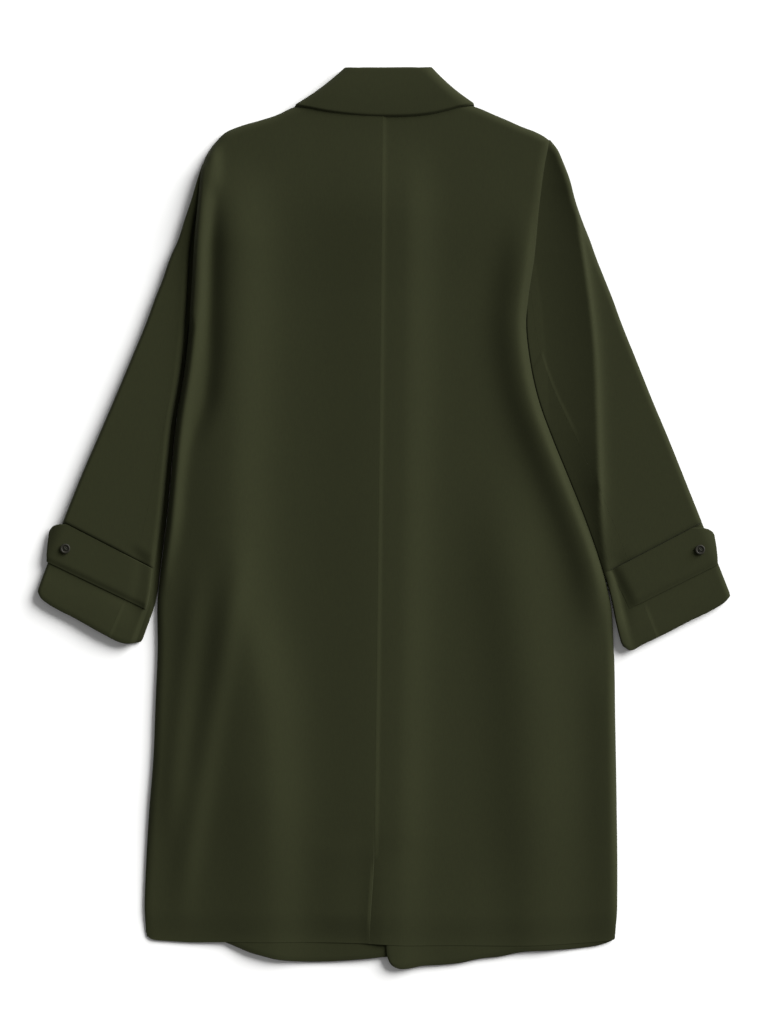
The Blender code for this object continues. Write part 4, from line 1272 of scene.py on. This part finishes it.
@dataclass
class Collar:
    """Turn-down collar: stand and fall in one piece, carried round the neck to two points in front."""

    layout: Layout
    # Fall's edge on the back. Columns: x, y
    fall_edge: Table = ((-112, 514.5), (-67.5, 506.25), (-1.25, 500.6), (57.5, 503.75), (118, 518.5))
    stand_fold: dict[Side, tuple] = by_side(right=(78.6, 531.5), left=(-78.6, 531.5))
    roll_top_y: float = 563.75
    roll_radius: float = 1.9
    fall_spare: float = 0.15
    bulge: float = 0.9
    hollow: float = 2.4
    top_dip: float = 1.2
    # Where the roll's own corner lies, inside the outline's corner
    corner_in: float = 3.0
    corner_down: float = 0.8
    # How far back from the outline the stand, roll and fall turn over, above and below, and the fall's slope
    turns_over: tuple[float, float, float] = (3.5, 9.0, 15.0)
    turns_under: tuple[float, float, float] = (3.5, 4.0, 6.0)
    fall_slope: float = 0.185
    # Where each line crosses the centre back
    stand_centre: float = -2.3
    roll_centre: float = 4.0
    fall_centre: float = -1.25
    # Under the fronts, points of the roll's line out from the centre and of the fall's line out from its end
    roll_front: Table = ((40, 520), (22, 482), (3.5, 457.5))
    fall_front: Table = ((1, 480), (14, 445))
    neck_clear: float = 0.05

    def half(self, side: Side) -> list[CollarSection]:
        """Sections of one half, from the centre back to its front end.

        Args:
            side: Which half.

        Returns:
            The sections in order.
        """
        layout = self.layout
        sign = side.value
        corner = np.array(layout.collar_corner[side])
        end = np.array(layout.fall_end[side])
        run = unit(corner - end)
        out = np.array([run[1], -run[0]])
        out = out if out[1] >= 0 else -out
        radius = self.roll_radius
        roll_y = self.roll_top_y - CLOTH.half - radius
        roll_fold = np.array([corner[0] - sign * self.corner_in, roll_y - self.corner_down])
        folds = (np.array(self.stand_fold[side]), roll_fold, end - out * CLOTH.half)
        # Each line keeps its own way across the side fold, so it slides along the fold as it turns over
        slope = sign * self.fall_slope
        slides = (0.0, out[1] / run[1], (out[1] - slope * out[0]) / (run[1] - slope * run[0]))
        tops = [fold - (out - run * slide) * width
                for fold, width, slide in zip(folds, self.turns_over, slides)]
        sections = []
        neck_z = layout.back_base + layout.neck_rise
        neck_y = layout.neck_back_y + CLOTH.gap / 2
        fall_miss = tops[2][1] - float(through(self.fall_edge, tops[2][0]))
        for s in np.linspace(0.0, 1.0, 40):
            xn = self.stand_centre + s * (tops[0][0] - self.stand_centre)
            xc = self.roll_centre + s * (tops[1][0] - self.roll_centre)
            xf = self.fall_centre + s * (tops[2][0] - self.fall_centre)
            yf = float(through(self.fall_edge, xf)) + s ** 4 * fall_miss
            zf = float(layout.back_top(xf, yf)) + CLOTH.wall + self.fall_spare
            neck = np.array([xn, neck_y + s ** 6 * (tops[0][1] - neck_y), neck_z])
            dip = self.top_dip * (1.0 - s * s)
            roll = np.array([xc, roll_y - dip + s ** 6 * (tops[1][1] - roll_y), neck_z + radius])
            sections.append(CollarSection(neck, roll, np.array([xf, yf, zf]), np.array([0, 0, 1.0]), radius))
        last = sections[-1]
        steps = np.linspace(0.0, 1.0, 40)
        neckline = layout.neck_points(side, steps)
        low_n = float(layout.front_mid(side, neckline[0][0], neckline[0][1]))
        low_r = (low_n - FLOOR_MID) / 2
        for a in np.radians(np.arange(9.0, 181.0, 9.0)):
            share = (1 - math.cos(a)) / 2
            lean = 1.0 - math.sin(a)
            above_fold = math.cos(a) > 0
            turns = self.turns_over if above_fold else self.turns_under
            onward = lean if above_fold else -lean
            plan = [fold - out * width * lean + run * slide * width * onward
                    for fold, width, slide in zip(folds, turns, slides)]
            levels = (low_n, FLOOR_MID + low_r, FLOOR_MID)
            above = (last.neck[2], last.roll[2], last.fall[2])
            marks = [np.array([*p, z + (low - z) * share]) for p, z, low in zip(plan, above, levels)]
            facing = np.array([out[0] * math.sin(a), out[1] * math.sin(a), math.cos(a)])
            sections.append(CollarSection(*marks, facing, radius + (low_r - radius) * share))
        begin = sections[-1]
        middle = layout.collar_centre_x
        point = np.array(layout.collar_point[side])
        roll_way = [(middle + sign * off, y) for off, y in self.roll_front]
        fall_way = [(x + sign * off, y) for x, (off, y) in zip((end[0], point[0]), self.fall_front)]
        roll_line = rounded([begin.roll[:2], *roll_way], 120)
        fall_line = rounded([begin.fall[:2], *fall_way, tuple(point)], 120)
        ways = tangents(neckline[:, None, :], 0)[:, 0, :]
        off = np.stack([ways[:, 1], -ways[:, 0]], axis=-1)
        off = off * np.sign(off[:, 1:2] + 1e-9)
        for k in range(1, len(steps)):
            n = neckline[k] + off[k] * (CLOTH.gap / 2 + self.neck_clear)
            if k == len(steps) - 1:
                n[0] = middle + sign * CLOTH.gap
            zn = float(layout.front_mid(side, neckline[k][0], neckline[k][1]))
            r = (zn - FLOOR_MID) / 2
            roll = np.array([*along(roll_line, steps[k]), FLOOR_MID + r])
            fall = np.array([*along(fall_line, steps[k]), FLOOR_MID])
            sections.append(CollarSection(np.array([*n, zn]), roll, fall, np.array([0, 0, -1.0]), r))
        return sections

    def build(self, material: bpy.types.Material) -> None:
        """Make the collar from its left front end to its right front end."""
        sections = self.half(Side.LEFT)[:0:-1] + self.half(Side.RIGHT)
        mid = np.array([section.curve(self.bulge, self.hollow) for section in sections])
        normal = grid_normals(mid)
        facing = np.array([unit(section.facing) for section in sections])
        if (normal[:, -2] * facing).sum() < 0:
            normal = -normal
        lay_cloth("collar", mid, (FALL, FALL, SEAM, FALL), material, normal)


@dataclass
class CuffTab:
    """Strap across a sleeve end, drawn in tight, with one button near its end."""

    sleeve: Sleeve
    # Shares across where the sewn end starts, at its upper and lower corner, and how that end is finished
    start: tuple[float, float]
    start_edge: Edge
    # Outline of the free end. Columns: share of the width, distance past the sleeve's edge
    end: Table
    # How far the free end droops, on what run past the roll, and how steeply the sewn end goes down
    droop: float = 4.0
    droop_run: float = 9.5
    sewn_slope: float = 0.15
    spare: float = 0.1
    width: float = 54.0
    length: float = 110.0
    step: float = 3.0

    def grid(self) -> Points:
        """Middle of the strap, raised off the sleeve."""
        sleeve = self.sleeve
        rows = []
        for share in shares(self.width, self.step, HEM_STEPS, HEM_STEPS):
            t = sleeve.tab_from + share * (sleeve.tab_to - sleeve.tab_from)
            width, roll_in, roll_out = sleeve.rolls(t)
            start = (self.start[0] + share * (self.start[1] - self.start[0])) * width
            stop = width + float(through(self.end, share))
            c = start + shares(self.length, self.step, HEM_STEPS, HEM_STEPS) * (stop - start)
            level = np.clip(c, roll_in, width - roll_out)
            base = sleeve.point(t, 1, level)
            head, foot = sleeve.line(t)
            plan = base[:, :2] + unit(foot - head) * (c - level)[:, None]
            over = np.maximum(c - (width - roll_out), 0.0)
            sag = self.droop * (over / (roll_out + self.droop_run)) ** 2
            sag = sag + self.sewn_slope * np.maximum(roll_in - c, 0.0)
            z = base[:, 2] + CLOTH.wall + self.spare - sag
            rows.append(np.concatenate([plan, z[:, None]], axis=-1))
        return np.array(rows)

    def build(self, material: bpy.types.Material) -> Panel:
        """Make the strap.

        Args:
            material: Finish of the cloth.

        Returns:
            The panel.
        """
        label = self.sleeve.side.label
        edges = (STRAP_TOP, STRAP_LOW, self.start_edge, STRAP_END)
        return lay_cloth(f"tab_{label}", self.grid(), edges, material)


def ring(first: Points, second: Points, radius: float, count: int) -> list[Points]:
    """Offsets from the middle to points round a circle.

    Args:
        first: Axis of the first point.
        second: Axis square to it.
        radius: Radius of the circle.
        count: How many points it gets.

    Returns:
        The offsets in order.
    """
    turned = [2 * math.pi * k / count for k in range(count)]
    return [(first * math.cos(a) + second * math.sin(a)) * radius for a in turned]


def tube_faces(base: int, rings: int, count: int) -> list[tuple[int, ...]]:
    """Faces between the rings of a tube and over its two ends.

    Args:
        base: Number of the first point.
        rings: How many rings there are.
        count: Points on each ring.

    Returns:
        Point numbers of each face.
    """
    faces = []
    for n in range(base, base + (rings - 1) * count, count):
        for k in range(count):
            m = (k + 1) % count
            faces.append((n + k, n + m, n + count + m, n + count + k))
    last = base + (rings - 1) * count
    return faces + [tuple(range(base, base + count)), tuple(range(last, last + count))]


@dataclass
class TabButton:
    """Four-hole button sewn to a cuff tab with crossed thread."""

    side: Side
    radius: float = 6.2
    thick: float = 2.6
    dish_radius: float = 4.0
    dish_depth: float = 0.9
    rim_round: float = 0.9
    hole_radius: float = 0.85
    hole_offset: float = 1.75
    thread_radius: float = 0.42
    sides: int = 56
    hole_sides: int = 20
    thread_sides: int = 8
    # How far the drill stands out on either side, and the angle of edges that stay sharp
    drill_past: float = 1.0
    sharp_angle: float = 35.0
    lift: float = 0.55

    def frame_on(self, panel: Panel) -> tuple[Points, Points, Points, Points]:
        """Where the button stands on its tab.

        Args:
            panel: The tab.

        Returns:
            Middle of the button's base, and its two level axes and upright axis.
        """
        low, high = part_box(f"button_{self.side.label}")
        spot = np.array([(low[k] + high[k]) / 2 * 1000 for k in range(2)])
        gap = np.linalg.norm(panel.mid[..., :2] - spot, axis=-1)
        near = np.argsort(gap, axis=None)[:4]
        up = unit(panel.normal.reshape(-1, 3)[near].mean(axis=0))
        base = panel.mid.reshape(-1, 3)[near].mean(axis=0)
        height = base[2] - (up[0] * (spot[0] - base[0]) + up[1] * (spot[1] - base[1])) / up[2]
        centre = np.array([spot[0], spot[1], height]) + up * (CLOTH.half + self.lift)
        first = unit(np.cross(up, np.array([0.0, 1.0, 0.0])))
        return centre, first, np.cross(up, first), up

    def profile(self) -> list[tuple[float, float]]:
        """Half section of the button from the middle of its base to the middle of its dish."""
        r, h, e = self.radius, self.thick, self.rim_round
        section = [(0.0, 0.0), (r * 0.6, 0.0), (r - e, 0.05)]
        section += [(r - e + e * math.sin(a), e - e * math.cos(a)) for a in np.radians((30, 60, 90))]
        section += [(r - e + e * math.cos(a), h - e + e * math.sin(a)) for a in np.radians((15, 40, 65, 90))]
        dish = self.dish_radius
        section += [(dish + 0.7, h), (dish + 0.2, h - self.dish_depth * 0.4)]
        section += [(dish - 0.5, h - self.dish_depth)]
        return section + [(dish * 0.5, h - self.dish_depth), (0.0, h - self.dish_depth)]

    def build(self, panel: Panel, horn: bpy.types.Material, thread: bpy.types.Material) -> None:
        """Make the button and its thread.

        Args:
            panel: The tab that carries it.
            horn: Finish of the button.
            thread: Finish of the sewing thread.
        """
        centre, first, second, up = self.frame_on(panel)
        label = self.side.label
        rows = self.profile()[1:-1]
        vertices = [centre + step + up * h for r, h in rows for step in ring(first, second, r, self.sides)]
        faces = tube_faces(0, len(rows), self.sides)
        button = mesh_object(f"button_{label}_horn", np.array(vertices), faces)
        spots = [(first * i + second * j) * self.hole_offset for i in (-1, 1) for j in (-1, 1)]
        self.drill(button, centre, spots, (first, second, up))
        dress(button, f"button_{label}", Slot.HORN, horn)
        stitches = mesh_object(f"button_{label}_thread", *self.crossed_thread(centre, spots, up))
        dress(stitches, "", Slot.WOOL, thread)

    def drill(self, button: bpy.types.Object, centre: Points, spots: list[Points],
              axes: tuple[Points, Points, Points]) -> None:
        """Cut the four holes through the button.

        Args:
            button: The button's object.
            centre: Middle of its base.
            spots: Places of the holes from the middle.
            axes: The two level axes and the upright one.
        """
        first, second, up = axes
        steps = ring(first, second, self.hole_radius, self.hole_sides)
        heights = (-self.drill_past, self.thick + self.drill_past)
        vertices = []
        faces = []
        for spot in spots:
            faces += tube_faces(len(vertices), len(heights), self.hole_sides)
            vertices += [centre + spot + step + up * height for height in heights for step in steps]
        pins = mesh_object("button_drill", np.array(vertices), faces)
        cut = button.modifiers.new("holes", "BOOLEAN")
        cut.operation = "DIFFERENCE"
        cut.solver = "EXACT"
        cut.object = pins
        graph = bpy.context.evaluated_depsgraph_get()
        drilled = bpy.data.meshes.new_from_object(button.evaluated_get(graph))
        button.modifiers.clear()
        button.data = drilled
        bpy.data.objects.remove(pins)
        button.data.set_sharp_from_angle(angle=math.radians(self.sharp_angle))

    def crossed_thread(self, centre: Points, spots: list[Points], up: Points) -> tuple[Points, list]:
        """Two crossed runs of thread over the dish, each going down into two opposite holes.

        Args:
            centre: Middle of the button's base.
            spots: Places of the holes from the middle.
            up: Upright axis.

        Returns:
            Points and faces of the thread.
        """
        vertices: list[Points] = []
        faces: list[tuple] = []
        level = self.thick - self.dish_depth
        count = self.thread_sides
        for (a, b), rise in (((0, 3), 0.3), ((1, 2), 1.0)):
            route = [(a, 1.0, 0.2), (a, 1.0, level), (a, 0.8, level + rise), (a, 0.0, level + rise + 0.15),
                     (b, 0.8, level + rise), (b, 1.0, level), (b, 1.0, 0.2)]
            line = rounded([centre + spots[k] * share + up * height for k, share, height in route], 28)
            ways = tangents(line[:, None, :], 0)[:, 0, :]
            flat = unit(np.cross(up, spots[b]))
            faces += tube_faces(len(vertices), len(line), count)
            for p, way in zip(line, ways):
                steps = ring(flat, np.cross(way, flat), self.thread_radius, count)
                vertices += [p + step for step in steps]
        return np.array(vertices), faces


def linear(hex_colour: str) -> tuple[float, float, float, float]:
    """Turn an sRGB hex colour into linear RGBA."""
    parts = [int(hex_colour[i:i + 2], 16) / 255 for i in (1, 3, 5)]
    return (*(c / 12.92 if c <= 0.04045 else ((c + 0.055) / 1.055) ** 2.4 for c in parts), 1.0)


def add_node(tree: bpy.types.NodeTree, kind: str, values: dict | None = None, links: dict | None = None,
             **settings: object) -> bpy.types.Node:
    """Add a node with its settings, values and links.

    Args:
        tree: Node tree of the material or world.
        kind: Blender's name of the node.
        values: Values of its inputs by name or number.
        links: Outputs to link to its inputs, by name or number.
        **settings: Properties of the node.

    Returns:
        The node.
    """
    node = tree.nodes.new(kind)
    for key, value in settings.items():
        setattr(node, key, value)
    for socket, value in (values or {}).items():
        node.inputs[socket].default_value = value
    for socket, source in (links or {}).items():
        tree.links.new(source, node.inputs[socket])
    return node


def empty_material(name: str) -> tuple[bpy.types.Material, bpy.types.NodeTree, bpy.types.NodeSocket]:
    """New material with only its output and the places on the object.

    Args:
        name: Name of the material.

    Returns:
        The material, its tree and the socket of the places.
    """
    material = bpy.data.materials.new(name)
    material.use_nodes = True
    tree = material.node_tree
    tree.nodes.clear()
    tree.nodes.new("ShaderNodeOutputMaterial")
    return material, tree, add_node(tree, "ShaderNodeTexCoord").outputs["Object"]


def add_surface(tree: bpy.types.NodeTree, values: dict, links: dict) -> None:
    """Add the surface's shader with its values and links, and link it to the output."""
    shader = add_node(tree, "ShaderNodeBsdfPrincipled", values, links)
    output = next(node for node in tree.nodes if node.type == "OUTPUT_MATERIAL")
    tree.links.new(shader.outputs["BSDF"], output.inputs["Surface"])


def blend(tree: bpy.types.NodeTree, dark: str, light: str,
          share: bpy.types.NodeSocket) -> bpy.types.NodeSocket:
    """Colour between two sRGB hex colours at a share."""
    values = {6: linear(dark), 7: linear(light)}
    return add_node(tree, "ShaderNodeMix", values, {0: share}, data_type="RGBA").outputs[2]


@dataclass(frozen=True)
class FeltedWool:
    """Felted double-faced wool coating, fulled and brushed: a matt face whose short nap hides the weave."""

    name: str = "felted_wool"
    dark: str = "#212310"
    light: str = "#272a14"
    # Fibre tufts are about 0.4 mm and nap streaks 0.5 by 3 mm on the cloth, drawn about 3 times as coarse
    tuft_mm: float = 1.3
    streak_mm: float = 1.6
    streak_length: float = 5.0
    mottle_mm: float = 55.0
    bump_mm: float = 0.14
    roughness: float = 0.94
    sheen: float = 0.12
    sheen_tint: str = "#8d9078"

    def material(self) -> bpy.types.Material:
        """Make the material: flecked colour and a bump of tufts and downward nap streaks."""
        material, tree, place = empty_material(self.name)
        flow = add_node(tree, "ShaderNodeMapping", {"Scale": (1.0, 1.0 / self.streak_length, 1.0)},
                        {"Vector": place})
        tufts = add_node(tree, "ShaderNodeTexNoise",
                         {"Scale": 1000.0 / self.tuft_mm, "Detail": 3.0, "Roughness": 0.6},
                         {"Vector": place})
        streaks = add_node(tree, "ShaderNodeTexNoise",
                           {"Scale": 1000.0 / self.streak_mm, "Detail": 4.0, "Roughness": 0.65},
                           {"Vector": flow.outputs["Vector"]})
        mottle = add_node(tree, "ShaderNodeTexNoise", {"Scale": 1000.0 / self.mottle_mm, "Detail": 2.0},
                          {"Vector": place})
        fleck = add_node(tree, "ShaderNodeMath", {1: 0.55}, {0: streaks.outputs["Fac"]}, operation="MULTIPLY")
        both = add_node(tree, "ShaderNodeMath", {1: 0.45},
                        {0: tufts.outputs["Fac"], 2: fleck.outputs["Value"]}, operation="MULTIPLY_ADD")
        tone = add_node(tree, "ShaderNodeMath", {1: 0.1},
                        {0: mottle.outputs["Fac"], 2: both.outputs["Value"]}, operation="MULTIPLY_ADD")
        spread = add_node(tree, "ShaderNodeMapRange", {"From Min": 0.3, "From Max": 0.8},
                          {"Value": tone.outputs["Value"]})
        colour = blend(tree, self.dark, self.light, spread.outputs["Result"])
        bump = add_node(tree, "ShaderNodeBump", {"Strength": 0.6, "Distance": self.bump_mm / 1000},
                        {"Height": both.outputs["Value"]})
        add_surface(tree, {"Roughness": self.roughness, "Specular IOR Level": 0.2, "Sheen Weight": self.sheen,
                           "Sheen Roughness": 0.45, "Sheen Tint": linear(self.sheen_tint)},
                    {"Base Color": colour, "Normal": bump.outputs["Normal"]})
        return material


@dataclass(frozen=True)
class HornResin:
    """Cast resin made to look like dark horn, tumbled to a dull satin: streaks in the depth, soft glints."""

    name: str = "horn_resin"
    dark: str = "#13130e"
    light: str = "#27251a"
    streak_mm: float = 2.5
    roughness: float = 0.6

    def material(self) -> bpy.types.Material:
        """Make the material: two browns mixed by a stretched, warped noise."""
        material, tree, place = empty_material(self.name)
        flow = add_node(tree, "ShaderNodeMapping", {"Scale": (1.0, 0.3, 1.0), "Rotation": (0.0, 0.0, 0.5)},
                        {"Vector": place})
        streaks = add_node(tree, "ShaderNodeTexNoise",
                           {"Scale": 1000.0 / self.streak_mm, "Detail": 5.0, "Distortion": 0.8},
                           {"Vector": flow.outputs["Vector"]})
        colour = blend(tree, self.dark, self.light, streaks.outputs["Fac"])
        wear = add_node(tree, "ShaderNodeMapRange",
                        {"To Min": self.roughness - 0.06, "To Max": self.roughness + 0.1},
                        {"Value": streaks.outputs["Fac"]})
        add_surface(tree, {"IOR": 1.54, "Specular IOR Level": 0.25},
                    {"Base Color": colour, "Roughness": wear.outputs["Result"]})
        return material


@dataclass(frozen=True)
class SewingThread:
    """Twisted polyester button thread, waxed by hand: dull, with fine slanting ridges of its twist."""

    name: str = "sewing_thread"
    colour: str = "#23251a"
    twist_mm: float = 0.6

    def material(self) -> bpy.types.Material:
        """Make the material: one dull colour shaded by its twist."""
        material, tree, place = empty_material(self.name)
        # A wave texture of scale 1 has about 20 bands to the unit
        bands = 1000.0 / self.twist_mm / 20.0
        twist = add_node(tree, "ShaderNodeTexWave", {"Scale": bands, "Distortion": 1.0}, {"Vector": place},
                         bands_direction="DIAGONAL")
        bump = add_node(tree, "ShaderNodeBump", {"Strength": 0.5, "Distance": 0.0001},
                        {"Height": twist.outputs["Fac"]})
        add_surface(tree, {"Base Color": linear(self.colour), "Roughness": 0.7, "Specular IOR Level": 0.3},
                    {"Normal": bump.outputs["Normal"]})
        return material


@dataclass(frozen=True)
class StudioPaper:
    """Matt white background paper, calendered smooth: it takes a soft shadow and shows no shine."""

    name: str = "studio_paper"
    colour: str = "#f9f9f8"
    light: str = "#fcfcfb"

    def material(self) -> bpy.types.Material:
        """Make the material: near white with a faint fibre cloudiness."""
        material, tree, place = empty_material(self.name)
        cloud = add_node(tree, "ShaderNodeTexNoise", {"Scale": 14.0, "Detail": 2.0},
                         {"Vector": place})
        colour = blend(tree, self.colour, self.light, cloud.outputs["Fac"])
        add_surface(tree, {"Roughness": 1.0, "Specular IOR Level": 0.0}, {"Base Color": colour})
        return material


@dataclass
class Studio:
    """Paper, lights and the camera over the coat."""

    paper_size: float = 9000.0
    picture_height: float = 1280.0
    picture_centre_y: float = 7.5
    level: float = 6.0
    lens: float = 135.0
    sensor: float = 36.0
    # Soft key from the upper right of the picture: degrees above the paper, round from +X, and its spread
    key_height: float = 24.0
    key_turn: float = 38.0
    key_spread: float = 46.0
    key_power: float = 7.5
    fill: float = 0.24

    def build(self) -> None:
        """Make the paper, the key light, the even fill and the camera."""
        half = self.paper_size / 2
        paper = mesh_object("studio_paper", np.array([(-half, -half, 0), (half, -half, 0), (half, half, 0),
                                                      (-half, half, 0)]), [(0, 1, 2, 3)])
        paper.data.materials.append(StudioPaper().material())
        paper.location.z = -0.0002
        scene = bpy.context.scene
        key = bpy.data.lights.new("key", "SUN")
        key.energy = self.key_power
        key.angle = math.radians(self.key_spread)
        lamp = bpy.data.objects.new("key", key)
        lamp.rotation_euler = (0.0, math.radians(90.0 - self.key_height), math.radians(self.key_turn))
        scene.collection.objects.link(lamp)
        world = bpy.data.worlds.new("studio")
        world.use_nodes = True
        back = world.node_tree.nodes["Background"]
        back.inputs["Color"].default_value = (1.0, 1.0, 1.0, 1.0)
        back.inputs["Strength"].default_value = self.fill
        scene.world = world
        scene.view_settings.view_transform = "Standard"
        lens = bpy.data.cameras.new("camera")
        lens.lens = self.lens
        lens.sensor_width = self.sensor
        camera = bpy.data.objects.new("camera", lens)
        distance = self.picture_height * self.lens / self.sensor
        camera.location = (0.0, self.picture_centre_y / 1000, (distance + self.level) / 1000)
        scene.collection.objects.link(camera)
        scene.camera = camera


def main() -> None:
    """Build the coat and the studio."""
    logging.basicConfig(level=logging.INFO, format="%(message)s")
    wool = FeltedWool().material()
    inside_wool = FeltedWool(name="felted_wool_inner_face", dark="#20220f", light="#262913").material()
    horn = HornResin().material()
    thread = SewingThread().material()
    layout = Layout()
    hems = {
        Side.RIGHT: ((4, -557), (9, -561.5), (16, -563.5), (30, -563.5), (45, -560.5), (70, -559),
                     (95, -556.5), (120, -551.2), (145, -548.5), (170, -543.2), (208, -541), (245, -538),
                     (270, -534), (284, -529), (293, -523)),
        Side.LEFT: ((-296, -514), (-286, -521), (-270, -524), (-235, -526.5), (-202, -529.5), (-186, -535.5),
                    (-168, -543), (-152, -547.5), (-136, -551.7), (-105, -554.7), (-55, -554), (-18, -551),
                    (0, -549), (45, -550), (95, -550)),
    }
    right_sleeve = Sleeve(
        Side.RIGHT, layout,
        outer=((206.5, 472.5), (210.5, 467.5), (216, 460), (221.5, 447.5), (231, 422.5), (237.5, 397.5),
               (246, 372.5), (256, 347.5), (265, 322.5), (275, 297.5), (285, 272.5), (294, 247.5),
               (314, 197.5), (334, 147.5), (355, 97.5), (375, 47.5), (394, 0), (432.5, -97.5)),
        inner_end=((279.5, -80), (286, -105), (291, -130), (296, -150), (300, -163)),
        full_z=12.5,
        tab_from=0.8405,
        cinch=4.6,
        cuff=((0, -3), (0.02, 3), (0.044, 5.5), (0.157, 6), (0.392, 6.4), (0.611, 5.8), (0.837, 5.8),
              (0.95, 3.7), (1, 0.5)),
        crest=((-106, 285.5), (-52.5, 276), (-2.5, 271.5), (51, 268.5), (122.5, 266), (216, 262), (341, 246),
               (404, 235), (435, 225), (475, 207)),
        rim=4.0,
        pocket=1.0,
        pocket_at=12.0,
        pocket_half=9.0,
        roll_inner=0.8,
        inner_level=0.92)
    left_sleeve = Sleeve(
        Side.LEFT, layout,
        outer=((225.8, 442), (232, 422.5), (239.5, 397.5), (248, 372.5), (256, 347.5), (267, 322.5),
               (275.5, 297.5), (285.5, 272.5), (294.5, 247.5), (315, 197.5), (336, 147.5), (357.5, 97.5),
               (379, 47.5), (398, 0), (432.5, -92.5)),
        inner_end=((283.5, -90), (288, -110), (294, -127), (299, -141), (304, -154)),
        full_z=13.0,
        tab_from=0.8386,
        seam_slope=7.0,
        cuff=((0, 1), (0.03, 4), (0.1, 10), (0.189, 12.8), (0.3, 12.4), (0.4, 11.8), (0.507, 10.7),
              (0.63, 9.6), (0.776, 9.2), (0.9, 7.4), (0.954, 5.4), (1, 0.3)),
        roll=3.0,
        roll_max=8.0,
        welt=1.0,
        welt_shows=((0.95, 1.1),),
        rim=6.0,
        pocket=1.0,
        pocket_at=24.0,
        dip=2.6,
        dip_at=26.0,
        dip_half=16.0,
        inner_flat=6.5,
        roll_inner=6.0,
        inner_level=0.25)
    tabs = {
        Side.RIGHT: CuffTab(right_sleeve, start=(0.05, 0.135), start_edge=SEWN_FLAT,
                            end=((0, -12), (0.12, 0.5), (0.3, 9.5), (0.5, 8.5), (0.75, 5), (1, 0.5))),
        Side.LEFT: CuffTab(left_sleeve, start=(0.055, 0.045), start_edge=SEWN_IN,
                           end=((0, -4), (0.12, 7.5), (0.3, 13), (0.5, 11), (0.75, 7.5), (1, 3))),
    }
    for side, sleeve in ((Side.LEFT, left_sleeve), (Side.RIGHT, right_sleeve)):
        Front(side, layout, hems[side]).build(inside_wool)
        BackHalf(side, layout).build(wool)
        sleeve.build(wool)
        strap = tabs[side].build(wool)
        TabButton(side).build(strap, horn, thread)
    Collar(layout).build(wool)
    Studio().build()


if __name__ == "__main__":
    main()
